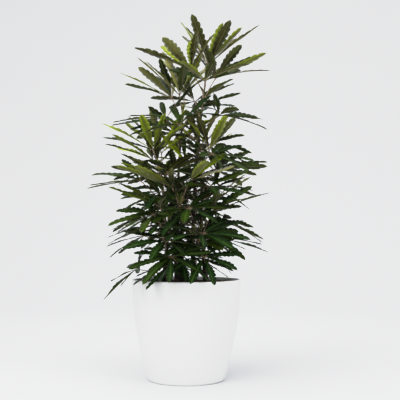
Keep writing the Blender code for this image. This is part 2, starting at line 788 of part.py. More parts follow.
def main():
    """Clears the scene and builds the plant in its own collection."""
    for obj in list(bpy.data.objects):
        bpy.data.objects.remove(obj)
    pieces = [pot(), soil()]
    grown = grown_leaves()
    for stem in STEMS:
        pieces.append(leafy_stem(stem, grown[stem.name]))
    for piece in pieces:
        in_collection("potted_false_aralia", piece)


if __name__ == "__main__":
    main()
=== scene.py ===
"""A potted false aralia: a round white planter, its soil and ten leafy stems, dressed for a render.

Metres, +Z up. The origin is the centre of the planter's flat underside, and the side that faces -Y is the
front. The stems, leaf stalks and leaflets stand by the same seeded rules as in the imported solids, so each
finer piece keeps the form of the solid that it replaces. Every random draw is seeded.
"""

from __future__ import annotations

import logging
import math
import random
from dataclasses import dataclass, replace
from enum import Enum

import bmesh
import bpy
from mathutils import Euler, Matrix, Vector, noise
from mathutils.bvhtree import BVHTree


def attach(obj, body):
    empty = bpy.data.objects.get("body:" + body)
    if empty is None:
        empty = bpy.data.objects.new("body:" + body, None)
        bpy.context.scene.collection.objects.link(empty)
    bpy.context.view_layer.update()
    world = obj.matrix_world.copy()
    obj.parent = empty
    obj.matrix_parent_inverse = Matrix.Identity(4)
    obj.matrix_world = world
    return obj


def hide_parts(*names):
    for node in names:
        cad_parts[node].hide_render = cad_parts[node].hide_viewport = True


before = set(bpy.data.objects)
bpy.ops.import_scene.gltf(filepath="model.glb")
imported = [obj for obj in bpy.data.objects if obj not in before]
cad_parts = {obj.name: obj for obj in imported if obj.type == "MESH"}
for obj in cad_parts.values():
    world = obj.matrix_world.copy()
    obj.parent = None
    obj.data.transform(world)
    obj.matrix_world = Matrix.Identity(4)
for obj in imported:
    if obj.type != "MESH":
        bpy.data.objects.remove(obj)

LOG = logging.getLogger("false_aralia")
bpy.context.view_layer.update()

# Colour sockets of the Mix node, which are told apart by number only.
MIX_A = 6
MIX_B = 7
MIX_RESULT = 2

# How the Map Range node names the range that a value comes from and the one that it is carried to.
FROM = "From"
TO = "To"

WAVE_REPEAT = math.tau / 20  # a wave texture of this scale has one band a metre
WELD = 1e-6  # points nearer than this are one
LEAST_BEND = 1e-3  # an arc bends by at least this angle

LOOKS = ("age", "tone", "blue", "lime", "dry")  # what a leaflet's vertices carry for its finish
COMBINED_CURVE = 3  # after those of red, green and blue, the tone curve that works on all three

Socket = bpy.types.NodeSocket
Pair = tuple[float, float]
Triple = tuple[float, float, float]
Line = list[tuple[Vector, float]]


class BladeSide(Enum):
    """One side of a blade. Its value is where that side's rib stands in the blank."""

    UPPER = 1
    UNDER = -1


class Draw(Enum):
    """What a stem's random numbers are for. Each use has its own seed, this far past the stem's."""

    GROWTH = 0
    LOOKS = 1
    SPRIGS = 3
    SHOOT = 7


# Small helpers


def between(pair: Pair, share: float) -> float:
    """Returns the value at a share of the way from the pair's first to its second."""
    return pair[0] + (pair[1] - pair[0]) * share


def clamped(value: float) -> float:
    """Returns the value, held between 0 and 1."""
    return min(1.0, max(0.0, value))


def shares(count: int) -> list[float]:
    """Returns that many evenly spaced values from 0 to 1."""
    return [i / (count - 1) for i in range(count)]


def at_age(values: Triple, age: float) -> float:
    """Finds a value for a leaf's age.

    Args:
        values: its value on a young, a middle-aged and an old leaf.
        age: from 0, young, to 1, old.

    Returns:
        The value, straight between the two nearest of the three.
    """
    if age < 0.5:
        return between(values[:2], age * 2)
    return between(values[1:], age * 2 - 1)


def pointing(heading: float, rise: float) -> Vector:
    """Returns the direction with that bearing, from +X towards +Y, and that rise above the horizon."""
    level = Vector((math.cos(heading), math.sin(heading), 0))
    return level * math.cos(rise) + Vector((0, 0, math.sin(rise)))


def linear(colour: str) -> tuple[float, float, float, float]:
    """Turns an sRGB hex colour such as "#2d3b25" into Blender's linear one, with an alpha of 1."""
    parts = [int(colour[i : i + 2], 16) / 255 for i in (1, 3, 5)]
    return (*[p / 12.92 if p <= 0.04045 else ((p + 0.055) / 1.055) ** 2.4 for p in parts], 1.0)


def new_object(name: str, data: bpy.types.ID) -> bpy.types.Object:
    """Puts an object into the scene.

    Args:
        name: its name.
        data: what it holds: a mesh, a curve, a light or a camera.

    Returns:
        The object, at the origin.
    """
    obj = bpy.data.objects.new(name, data)
    bpy.context.scene.collection.objects.link(obj)
    return obj


def object_from(name: str, work: bmesh.types.BMesh, material: bpy.types.Material) -> bpy.types.Object:
    """Turns mesh work into a smooth object, and frees the work.

    Args:
        name: the object's name.
        work: the mesh work.
        material: its finish.

    Returns:
        The object.
    """
    mesh = bpy.data.meshes.new(name)
    work.to_mesh(mesh)
    work.free()
    mesh.shade_smooth()
    mesh.materials.append(material)
    return new_object(name, mesh)


def weld(work: bmesh.types.BMesh) -> None:
    """Joins the points that lie together, and turns the faces outwards."""
    bmesh.ops.remove_doubles(work, verts=work.verts, dist=WELD)
    bmesh.ops.recalc_face_normals(work, faces=work.faces)


def turned(profile: list[Pair], steps: int) -> bmesh.types.BMesh:
    """Spins a profile round the vertical axis.

    Args:
        profile: its points, as (radius, height).
        steps: how many flats go round.

    Returns:
        The mesh work.
    """
    work = bmesh.new()
    verts = [work.verts.new((radius, 0, height)) for radius, height in profile]
    edges = [work.edges.new(pair) for pair in zip(verts, verts[1:])]
    middle = (0, 0, 0)
    bmesh.ops.spin(
        work, geom=verts + edges, axis=(0, 0, 1), cent=middle, angle=math.tau, steps=steps, use_merge=True
    )
    weld(work)
    return work


def tubes(name: str, lines: list[Line], resolution: int, material: bpy.types.Material) -> bpy.types.Object:
    """Makes one object of tapered tubes with closed ends.

    Args:
        name: the object's name.
        lines: for each tube, its points with the radius at each.
        resolution: the bevel resolution of the curve that shapes them.
        material: its finish.

    Returns:
        The object.
    """
    curve = bpy.data.curves.new(name, "CURVE")
    curve.dimensions = "3D"
    curve.bevel_depth = 1.0
    curve.bevel_resolution = resolution
    curve.use_fill_caps = True
    for line in lines:
        spline = curve.splines.new("POLY")
        spline.points.add(len(line) - 1)
        for target, (point, radius) in zip(spline.points, line):
            target.co = (*point, 1.0)
            target.radius = radius
    guide = new_object(name + "_line", curve)
    graph = bpy.context.evaluated_depsgraph_get()
    shaped = bpy.data.meshes.new_from_object(guide.evaluated_get(graph), depsgraph=graph)
    bpy.data.objects.remove(guide)
    work = bmesh.new()
    work.from_mesh(shaped)
    bpy.data.meshes.remove(shaped)
    weld(work)
    return object_from(name, work, material)


class Nodes:
    """One material, and the one function that adds a node to it."""

    def __init__(self, name: str) -> None:
        """Makes the material.

        Args:
            name: what the real material is.
        """
        self.material = bpy.data.materials.new(name)
        self.material.use_nodes = True
        self.tree = self.material.node_tree
        self.place = self.add_node("ShaderNodeTexCoord", out="Object")

    def feed(self, node: bpy.types.Node, inputs: dict) -> None:
        """Gives a node's inputs their values and links.

        Args:
            node: the node.
            inputs: for each input socket, by name or number, the socket that feeds it, its value, or its
                colour in sRGB hex. FROM and TO stand for the two ends of a range.
        """
        for key, value in inputs.items():
            if key in (FROM, TO):
                self.feed(node, dict(zip((key + " Min", key + " Max"), value)))
            elif isinstance(value, Socket):
                self.tree.links.new(value, node.inputs[key])
            else:
                node.inputs[key].default_value = linear(value) if isinstance(value, str) else value

    def add_node(self, kind: str, inputs: dict | None = None, out: str | int = 0, **settings) -> Socket:
        """Adds a node with its settings and links.

        Args:
            kind: its type name.
            inputs: what its inputs take, as in feed.
            out: the output that is wanted, by name or number.
            settings: its own properties.

        Returns:
            That output.
        """
        node = self.tree.nodes.new(kind)
        for name, value in settings.items():
            setattr(node, name, value)
        self.feed(node, inputs or {})
        return node.outputs[out]

    def shaded(self, inputs: dict) -> bpy.types.Material:
        """Gives the Principled BSDF its inputs and returns the finished material."""
        self.feed(self.tree.nodes["Principled BSDF"], inputs)
        return self.material


# How the plant grows: the same values and draws as its solids have


@dataclass(frozen=True)
class Stem:
    """One leafy stem: where it stands, how tall it is and how its leaves start."""

    name: str
    foot: Pair  # where it leaves the soil, across and back from the planter's axis
    tip: Triple
    bow: Pair  # how far its middle leans out of line, across and back
    leaves: int
    lowest: float  # the height of its lowest leaf
    turn: float  # the bearing of its lowest leaf, in degrees
    seed: int
    hang: float = 0.0  # how many degrees its lowest leaf hangs below the others' rule

    def draws(self, use: Draw) -> random.Random:
        """Returns the stem's random numbers for one use."""
        return random.Random(self.seed + use.value)


STEMS = (
    Stem("leafy_stem_tall", (0.02, 0.01), (0.061, -0.021, 0.954), (-0.012, 0), 14, 0.456, 103, 351),
    Stem("leafy_stem_tall_left", (-0.022, 0.02), (-0.012, 0.035, 0.868), (-0.012, 0.01), 12, 0.434, 355, 464),
    Stem("leafy_stem_left", (-0.06, -0.01), (-0.083, -0.006, 0.662), (0.004, 0), 9, 0.367, 0, 702),
    Stem("leafy_stem_right", (0.06, 0.015), (0.049, 0.006, 0.676), (-0.004, 0), 8, 0.404, 220, 576),
    Stem("leafy_stem_front", (-0.01, -0.06), (-0.019, -0.065, 0.554), (0, 0.006), 7, 0.355, 240, 15),
    Stem("leafy_stem_back", (0.02, 0.07), (0.025, 0.085, 0.678), (0, -0.006), 6, 0.408, 270, 337),
    Stem("leafy_stem_low_right", (0.065, -0.045), (0.047, -0.037, 0.47), (0, 0), 5, 0.356, 255, 480),
    Stem("leafy_stem_low_left", (-0.07, -0.05), (-0.057, -0.073, 0.494), (0, 0), 5, 0.335, 185, 972, 20),
    Stem("leafy_stem_low_front", (0.028, -0.082), (0.022, -0.085, 0.456), (0, 0), 4, 0.347, 155, 196),
    Stem("leafy_stem_low_back", (-0.035, 0.078), (-0.044, 0.084, 0.595), (0, 0), 6, 0.345, 335, 527),
)


@dataclass(frozen=True)
class Stalk:
    """A leaf stalk: an arc that leaves the stem and sags towards its tip."""

    root: Vector
    heading: float
    rise: float
    sag: float
    length: float

    def at(self, share: float = 1.0) -> tuple[Vector, float]:
        """Returns the point at a share of the stalk's length, and its rise there."""
        return arc_point(self.root, self.heading, self.rise, self.sag, self.length, share)


@dataclass(frozen=True)
class Leaflet:
    """One blade of a leaf: an arc from the whorl's hub, with its width and its roll about its own rib."""

    number: int
    root: Vector
    facing: Vector
    heading: float
    rise: float
    droop: float
    roll: float
    length: float
    width: float

    def way(self) -> Vector:
        """Returns the direction in which the leaflet leaves its hub."""
        return pointing(self.heading, self.rise)


@dataclass
class Leaf:
    """A stalk with the whorl of leaflets at its tip. Age runs from 0, at the stem's tip, to 1."""

    label: str
    stalk: Stalk
    age: float
    axis: Vector
    hub: Vector
    leaflets: list[Leaflet]


def arc_point(
    root: Vector, heading: float, rise: float, bend: float, distance: float, share: float
) -> tuple[Vector, float]:
    """Follows an arc that bends down.

    Args:
        root: where it starts.
        heading: its bearing from +X towards +Y.
        rise: its angle above the horizon at the start.
        bend: how far the angle falls by its end.
        distance: its whole length.
        share: how far along it to go.

    Returns:
        The point, and the arc's rise there.
    """
    bend = max(bend, LEAST_BEND)
    now = rise - bend * share
    out = distance * (math.sin(rise) - math.sin(now)) / bend
    up = distance * (math.cos(now) - math.cos(rise)) / bend
    return root + Vector((math.cos(heading) * out, math.sin(heading) * out, up)), now


class Hull:
    """A simple hull round a piece, with its box, that tells whether another one crosses it."""

    def __init__(self, corners: list[Vector], faces: list[tuple], owner: str, inner: bool = False) -> None:
        """Keeps the hull's search tree and box.

        Args:
            corners: its corners.
            faces: its faces, as numbers of corners.
            owner: the stem or the leaf that it belongs to.
            inner: whether it counts for the pieces of its own owner only.
        """
        self.tree = BVHTree.FromPolygons(corners, faces)
        self.low = [min(c[i] for c in corners) for i in range(3)]
        self.high = [max(c[i] for c in corners) for i in range(3)]
        self.owner = owner
        self.inner = inner

    @classmethod
    def of_rings(cls, corners: list[Vector], sides: int, owner: str, inner: bool = False) -> Hull:
        """Makes an open hull of rings of corners, each joined to the next.

        Args:
            corners: the rings' corners, one ring after another.
            sides: how many corners a ring has.
            owner: the stem or the leaf that it belongs to.
            inner: whether it counts for the pieces of its own owner only.

        Returns:
            The hull.
        """
        faces = []
        for ring in range(len(corners) // sides - 1):
            for side in range(sides):
                a = ring * sides + side
                b = ring * sides + (side + 1) % sides
                faces.append((a, b, b + sides, a + sides))
        return cls(corners, faces, owner, inner)

    @classmethod
    def of_tube(cls, points: list[Vector], radii: list[float], owner: str, sides: int = 4) -> Hull:
        """Makes the hull of a tapered tube.

        Args:
            points: the tube's line.
            radii: its radius at each point.
            owner: the stem that it belongs to.
            sides: how many sides it has.

        Returns:
            The hull.
        """
        corners = []
        for index, point in enumerate(points):
            ahead = points[min(index + 1, len(points) - 1)] - points[max(index - 1, 0)]
            across = ahead.orthogonal().normalized()
            second = ahead.normalized().cross(across)
            for side in range(sides):
                angle = math.tau * side / sides
                corners.append(point + (across * math.cos(angle) + second * math.sin(angle)) * radii[index])
        return cls.of_rings(corners, sides, owner)

    def within(self, centre: Vector, reach: float) -> bool:
        """Returns whether the hull's box comes within reach of the centre, along each axis."""
        return all(self.low[i] < centre[i] + reach and self.high[i] > centre[i] - reach for i in range(3))

    def crosses(self, other: Hull) -> bool:
        """Tells whether two hulls meet.

        Args:
            other: the other hull.

        Returns:
            Whether their faces cut each other.
        """
        for i in range(3):
            if self.low[i] > other.high[i] or other.low[i] > self.high[i]:
                return False
        return bool(self.tree.overlap(other.tree))


@dataclass(frozen=True)
class PlanterSizes:
    """The planter's sizes, which its soil and its plant stand in."""

    height: float = 0.320
    top_radius: float = 0.175
    base_radius: float = 0.123
    swell: float = 1.85
    wall: float = 0.0045
    floor: float = 0.006
    rim: float = 0.0075
    rim_depth: float = 0.012
    foot_round: float = 0.006
    soil_below_rim: float = 0.014
    soil_mound: float = 0.006
    soil_bump: float = 0.0025
    soil_bump_size: float = 0.028

    def wall_radius(self, height: float) -> float:
        """Returns the outer radius, which swells quickly off the foot and hardly grows near the rim."""
        share = height / self.height
        return self.base_radius + (self.top_radius - self.base_radius) * (1 - (1 - share) ** self.swell)

    def soil_height(self, x: float, y: float) -> float:
        """Finds the height of the soil's surface, a low mound with lumps in it.

        Args:
            x: the place across the planter.
            y: the place from its front to its back.

        Returns:
            The height.
        """
        reach = math.hypot(x, y) / self.top_radius
        lump = noise.noise(Vector((x, y, 0)) / self.soil_bump_size)
        return self.height - self.soil_below_rim + self.soil_mound * (1 - reach**2) + self.soil_bump * lump


@dataclass(frozen=True)
class Growth:
    """The rules by which stalks and leaflets stand, and the search for room where two would cross."""

    sizes: PlanterSizes = PlanterSizes()
    # The stems.
    stem_buried: float = 0.060
    stem_foot_radius: float = 0.0068
    stem_tip_radius: float = 0.0026
    stem_points: int = 7
    crown_centre: Triple = (0.012, 0.0, 0.0)
    outward_full: float = 0.10
    outward_pull: float = 0.42
    top_leaf: float = 0.985

    # Leaf stalks and whorls, for a young, a middle-aged and an old leaf.
    golden_angle: float = math.radians(137.5)
    tip_crowding: float = 1.5
    stalk_length: Triple = (0.085, 0.102, 0.085)
    stalk_rise: Triple = (math.radians(78), math.radians(50), math.radians(36))
    stalk_sag: float = math.radians(14)
    stalk_foot_radius: float = 0.0022
    stalk_tip_radius: float = 0.0014
    stalk_points: int = 3
    axis_ahead: float = 0.9
    axis_up: float = 0.75
    leaflet_count: Triple = (6, 8, 8)
    fewest_leaflets: int = 3
    leaflet_length: Triple = (0.205, 0.183, 0.148)
    leaflet_width: Triple = (0.0340, 0.0310, 0.0265)
    leaflet_stalk: float = 0.06
    whorl_opening: Triple = (math.radians(34), math.radians(64), math.radians(76))
    whorl_fan: float = math.radians(275)
    droop: Triple = (math.radians(12), math.radians(22), math.radians(20))
    roll_reach: float = 0.3
    back_shorter: float = 0.34
    back_power: float = 1.4
    back_narrower: float = 0.25
    hub_radius: float = 0.0060
    rib_half_thickness: float = 0.0011
    keel: float = 0.16
    widest_a: float = 1.0
    widest_b: float = 0.64

    # The solid blades have a few teeth and rib points, which their sleeves follow.
    rib_shares: Pair = (0.40, 0.75)
    solid_teeth: int = 3
    tooth_first: float = 0.40
    tooth_step: float = 0.21

    # How far a leaf strays from the rules, drawn at random: either way, or between two factors.
    bearing_stray: float = 0.2
    rise_stray: float = 0.12
    stalk_stray: Pair = (0.85, 1.12)
    whorl_stray: Pair = (0.92, 1.08)
    turn_stray: float = 0.07
    droop_stray: Pair = (0.6, 1.4)
    roll_stray: float = 0.45
    length_stray: Pair = (0.93, 1.07)
    width_stray: Pair = (0.85, 1.12)

    # Room that the leaves leave each other.
    clear: float = 0.0013
    roots_apart: float = math.radians(20)
    shortening: tuple[float, ...] = (1.0, 0.88, 0.76, 0.64)
    stalk_tries: int = 8
    stalk_try: float = 0.09
    leaflet_tries: int = 3
    leaflet_try: float = 0.11
    whorl_sleeve_start: float = 0.13
    root_half_width: float = 0.0045
    stalk_sleeve_end: float = 0.93
    stem_sleeve_sides: int = 6
    pot_sleeve_steps: int = 24
    pot_sleeve_foot: float = 0.6
    pot_sleeve_middle: float = 0.01

    def stem_point(self, stem: Stem, share: float) -> Vector:
        """Follows a stem's line.

        Args:
            stem: the stem.
            share: how far along it to go, from the rim's level at 0 to its growing tip at 1.

        Returns:
            The point.
        """
        foot = Vector((stem.foot[0], stem.foot[1], self.sizes.height))
        bow = Vector((stem.bow[0], stem.bow[1], 0)) * math.sin(math.pi * share)
        return foot.lerp(Vector(stem.tip), share) + bow

    def stem_radius(self, share: float) -> float:
        """Returns the stem's radius, which falls evenly from its foot to its tip."""
        return between((self.stem_foot_radius, self.stem_tip_radius), share)

    def half_width(self, leaflet: Leaflet, share: float) -> float:
        """Finds how wide a blade is over its teeth. It is widest past its middle, with a blunt point.

        Args:
            leaflet: the blade.
            share: the place along its rib.

        Returns:
            Half the width.
        """
        widest = self.widest_a / (self.widest_a + self.widest_b)
        peak = widest**self.widest_a * (1 - widest) ** self.widest_b
        green = max(0.0, (share - self.leaflet_stalk) / (1 - self.leaflet_stalk))
        return leaflet.width / 2 * green**self.widest_a * (1 - green) ** self.widest_b / peak

    def blade_point(self, leaflet: Leaflet, along: float, across: float, lift: float) -> Vector:
        """Places a point of a blade.

        Args:
            leaflet: the blade.
            along: its share of the rib's length.
            across: its distance across the rib.
            lift: its distance above the blade.

        Returns:
            The point.
        """
        point, rise = arc_point(
            leaflet.root, leaflet.heading, leaflet.rise, leaflet.droop, leaflet.length, along
        )
        ahead = pointing(leaflet.heading, rise)
        upper = (leaflet.facing - ahead * leaflet.facing.dot(ahead)).normalized()
        side = upper.cross(ahead)
        turn = leaflet.roll * min(1.0, along / self.roll_reach)
        across_way = side * math.cos(turn) + upper * math.sin(turn)
        lift_way = upper * math.cos(turn) - side * math.sin(turn)
        return point + across_way * across + lift_way * lift

    def leaflet_hull(self, leaflet: Leaflet, label: str, inner: bool) -> Hull:
        """Makes a flat sleeve round a leaflet.

        Args:
            leaflet: the blade.
            label: its leaf's name.
            inner: whether to leave out its narrow root, for the leaflets of its own whorl.

        Returns:
            The sleeve, clear of the blade's faces.
        """
        start, least = (self.whorl_sleeve_start, 0.0) if inner else (0.0, self.root_half_width)
        stops = (0.0, *self.rib_shares, 1.0)
        middle = [leaflet.root]
        for share in self.rib_shares:
            keel = self.keel * self.half_width(leaflet, share)
            middle.append(self.blade_point(leaflet, share, 0, -keel))
        middle.append(self.blade_point(leaflet, 1.0, 0, 0))
        teeth = (self.tooth_first + self.tooth_step * tooth for tooth in range(self.solid_teeth))
        corners = []
        for share in (start, *teeth, 1.0):
            part = max(i for i in range(len(self.rib_shares) + 1) if stops[i] <= share)
            reach = (share - stops[part]) / (stops[part + 1] - stops[part])
            rib = middle[part].lerp(middle[part + 1], reach)
            half = max(least, self.half_width(leaflet, share)) + self.clear
            up = self.blade_point(leaflet, share, 0, self.rib_half_thickness + self.clear)
            up -= self.blade_point(leaflet, share, 0, 0)
            corners += [self.blade_point(leaflet, share, half, 0), rib + up]
            corners += [self.blade_point(leaflet, share, -half, 0), rib - up]
        return Hull.of_rings(corners, 4, label, inner)

    def stalk_hull(self, stalk: Stalk, owner: str) -> Hull:
        """Makes a tube round a stalk that stops short of the whorl.

        Args:
            stalk: the stalk.
            owner: the name of its stem.

        Returns:
            The tube.
        """
        points = [stalk.at(self.stalk_sleeve_end * share)[0] for share in shares(self.stalk_points)]
        return Hull.of_tube(points, [self.stalk_foot_radius + self.clear] * len(points), owner)

    def hub_hull(self, stalk: Stalk, owner: str) -> Hull:
        """Makes an eight-sided hull round a whorl's hub and the roots of its leaflets.

        Args:
            stalk: the whorl's stalk.
            owner: the name of its leaf.

        Returns:
            The hull.
        """
        hub = stalk.at()[0]
        reach = self.hub_radius + 2 * self.clear
        ends = [(0, 0, reach), (0, 0, -reach)]
        ring = [(reach, 0, 0), (0, reach, 0), (-reach, 0, 0), (0, -reach, 0)]
        corners = [hub + Vector(way) for way in ends + ring]
        faces = [(end, 2 + i, 2 + (i + 1) % 4) for end in range(2) for i in range(4)]
        return Hull(corners, faces, owner)

    def stem_hull(self, stem: Stem) -> Hull:
        """Makes a tube round a stem's whole length.

        Args:
            stem: the stem.

        Returns:
            The tube.
        """
        points = [self.stem_point(stem, share) for share in shares(self.stem_points)]
        radii = [self.stem_radius(share) + self.clear for share in shares(self.stem_points)]
        return Hull.of_tube(points, radii, stem.name, self.stem_sleeve_sides)

    def pot_hull(self) -> Hull:
        """Makes a hull of the planter's inner and outer wall and its soil, as far as leaves reach.

        Returns:
            The hull.
        """
        pot = self.sizes
        foot = self.pot_sleeve_foot * pot.height
        mouth = pot.top_radius - pot.rim - self.clear
        soil = pot.height - pot.soil_below_rim
        levels = (
            (self.pot_sleeve_middle, soil + pot.soil_mound + pot.soil_bump + self.clear),
            (mouth, soil + self.clear),
            (mouth, pot.height + self.clear),
            (pot.top_radius + self.clear, pot.height + self.clear),
            (pot.wall_radius(foot) + self.clear, foot),
        )
        corners = []
        for radius, height in levels:
            for step in range(self.pot_sleeve_steps):
                angle = math.tau * step / self.pot_sleeve_steps
                reach = radius / math.cos(math.pi / self.pot_sleeve_steps)
                corners.append(Vector((math.cos(angle) * reach, math.sin(angle) * reach, height)))
        return Hull.of_rings(corners, self.pot_sleeve_steps, "pot")

    def turned_outwards(self, root: Vector, bearing: float) -> float:
        """Draws a bearing on an outer stem round, so that its leaves spread to the free side.

        Args:
            root: where the leaf stalk starts.
            bearing: what the spiral gives it.

        Returns:
            The bearing that it takes.
        """
        out = Vector((root.x, root.y, 0)) - Vector(self.crown_centre)
        pull = min(1.0, out.length / self.outward_full)
        away = math.atan2(out.y, out.x)
        off = (bearing - away + math.pi) % math.tau - math.pi
        return away + off * (1 - self.outward_pull * pull)

    def planned_stalk(self, stem: Stem, index: int, draw: random.Random) -> tuple[Stalk, float]:
        """Follows the spiral to one leaf.

        Args:
            stem: the stem.
            index: the leaf's number, counted from the lowest.
            draw: the stem's random numbers.

        Returns:
            The leaf's stalk, and its age.
        """
        age = 1 - index / (stem.leaves - 1)
        first = (stem.lowest - self.sizes.height) / (stem.tip[2] - self.sizes.height)
        share = between((first, self.top_leaf), 1 - age**self.tip_crowding)
        root = self.stem_point(stem, share)
        stray = draw.uniform(-self.bearing_stray, self.bearing_stray)
        bearing = math.radians(stem.turn) + index * self.golden_angle + stray
        heading = self.turned_outwards(root, bearing)
        rise = at_age(self.stalk_rise, age) + draw.uniform(-self.rise_stray, self.rise_stray)
        if index == 0:
            rise -= math.radians(stem.hang)
        length = at_age(self.stalk_length, age) * draw.uniform(*self.stalk_stray)
        return Stalk(root, heading, rise, self.stalk_sag, length), age

    def planned_leaflets(
        self, stalk: Stalk, age: float, draw: random.Random
    ) -> tuple[Vector, Vector, list[Leaflet]]:
        """Opens a whorl as it would stand with nothing in its way.

        Args:
            stalk: the leaf's stalk.
            age: the leaf's age.
            draw: the stem's random numbers.

        Returns:
            The whorl's hub, its axis and its leaflets.
        """
        hub, rise = stalk.at()
        outward = pointing(stalk.heading, 0.0)
        ahead = pointing(stalk.heading, rise)
        axis = (ahead * self.axis_ahead + Vector((0, 0, self.axis_up))).normalized()
        opening = at_age(self.whorl_opening, age)
        count = round(at_age(self.leaflet_count, age))
        size = at_age(self.leaflet_length, age) * draw.uniform(*self.whorl_stray)
        width = at_age(self.leaflet_width, age)
        front = (outward - axis * outward.dot(axis)).normalized()
        side = axis.cross(front)
        leaflets = []
        for number in range(count):
            stray = draw.uniform(-self.turn_stray, self.turn_stray)
            turn = self.whorl_fan * (number / (count - 1) - 0.5) + stray
            spread = front * math.cos(turn) + side * math.sin(turn)
            way = axis * math.cos(opening) + spread * math.sin(opening)
            back = abs(turn) / math.pi
            shorter = 1 - self.back_shorter * back**self.back_power
            narrower = 1 - self.back_narrower * back
            leaflets.append(
                Leaflet(
                    number=number,
                    root=hub,
                    facing=axis,
                    heading=math.atan2(way.y, way.x),
                    rise=math.asin(max(-1.0, min(1.0, way.z))),
                    droop=at_age(self.droop, age) * draw.uniform(*self.droop_stray),
                    roll=draw.uniform(-self.roll_stray, self.roll_stray),
                    length=size * shorter * draw.uniform(*self.length_stray),
                    width=width * narrower * draw.uniform(*self.width_stray),
                )
            )
        return hub, axis, leaflets

    @staticmethod
    def ways_round(steps: int, size: float) -> list[Pair]:
        """Lists small turns to try in order, widening on both sides.

        Args:
            steps: how many sizes of turn to try.
            size: the smallest turn.

        Returns:
            Pairs of a turn and a lift, no turn first.
        """
        found = [(0.0, 0.0)]
        for step in range(1, steps + 1):
            reach = step * size
            found += [(reach, 0.0), (-reach, 0.0), (0.0, reach), (0.0, -reach)]
            found += [(reach, reach), (-reach, -reach)]
        return found

    def placed_stalk(
        self, stalk: Stalk, stem: Stem, label: str, hulls: list[Hull]
    ) -> tuple[Stalk | None, list[Hull]]:
        """Turns a stalk as little as it takes to clear the rest.

        Args:
            stalk: the planned stalk.
            stem: its stem.
            label: its leaf's name.
            hulls: what stands already.

        Returns:
            The stalk, or None where it has no room, and its own hulls.
        """
        for turn, lift in self.ways_round(self.stalk_tries, self.stalk_try):
            tried = replace(stalk, heading=stalk.heading + turn, rise=stalk.rise + lift)
            tube = self.stalk_hull(tried, stem.name)
            hub = self.hub_hull(tried, label)
            if any(tube.crosses(other) for other in hulls if other.owner != stem.name):
                continue
            if not any(hub.crosses(other) for other in hulls):
                return tried, [tube, hub]
        return None, []

    def placed_leaflet(
        self, leaflet: Leaflet, kept: list[Leaflet], label: str, hulls: list[Hull]
    ) -> tuple[Leaflet | None, list[Hull]]:
        """Bends, and then shortens, a leaflet as little as it takes to clear the rest.

        Args:
            leaflet: the planned leaflet.
            kept: the leaflets that its whorl has so far.
            label: its leaf's name.
            hulls: what stands already.

        Returns:
            The leaflet, or None where it has no room, and its own hulls.
        """
        near = [hull for hull in hulls if hull.within(leaflet.root, leaflet.length + self.clear)]
        others = [hull for hull in near if hull.owner != label and not hull.inner]
        beside = [hull for hull in near if hull.owner == label and hull.inner]
        for scale in self.shortening:
            for turn, lift in self.ways_round(self.leaflet_tries, self.leaflet_try):
                tried = replace(
                    leaflet,
                    heading=leaflet.heading + turn,
                    rise=leaflet.rise + lift,
                    length=leaflet.length * scale,
                )
                if any(tried.way().angle(other.way()) < self.roots_apart for other in kept):
                    continue
                inner = self.leaflet_hull(tried, label, True)
                if any(inner.crosses(other) for other in beside):
                    continue
                outer = self.leaflet_hull(tried, label, False)
                if not any(outer.crosses(other) for other in others):
                    return tried, [inner, outer]
        return None, []

    def placed_whorl(
        self, leaflets: list[Leaflet], label: str, hulls: list[Hull]
    ) -> tuple[list[Leaflet], list[Hull]]:
        """Places a whorl's leaflets one after another.

        Args:
            leaflets: the planned leaflets.
            label: their leaf's name.
            hulls: what stands already.

        Returns:
            The leaflets that have room, and their own hulls.
        """
        kept, own = [], []
        for leaflet in leaflets:
            placed, around = self.placed_leaflet(leaflet, kept, label, hulls + own)
            if placed:
                kept.append(placed)
                own += around
        return kept, own

    def grown(self) -> tuple[dict[str, list[Leaf]], list[Hull]]:
        """Grows every stem's leaves, each piece clear of all the others.

        Returns:
            For each stem's name, its leaves, where a blade with no free way is left out, and all the hulls.
        """
        hulls = [self.pot_hull()] + [self.stem_hull(stem) for stem in STEMS]
        drafts = []
        for stem in STEMS:
            draw = stem.draws(Draw.GROWTH)
            for index in reversed(range(stem.leaves)):
                label = f"{stem.name}_leaf_{index}"
                planned, age = self.planned_stalk(stem, index, draw)
                stalk, own = self.placed_stalk(planned, stem, label, hulls)
                hulls += own
                if stalk:
                    drafts.append((stem, label, stalk, age, draw))
        grown = {stem.name: [] for stem in STEMS}
        for stem, label, stalk, age, draw in drafts:
            hub, axis, leaflets = self.planned_leaflets(stalk, age, draw)
            kept, own = self.placed_whorl(leaflets, label, hulls)
            hulls += own
            if len(kept) >= self.fewest_leaflets:
                grown[stem.name].append(Leaf(label, stalk, age, axis, hub, kept))
        return grown, hulls


# Finishes


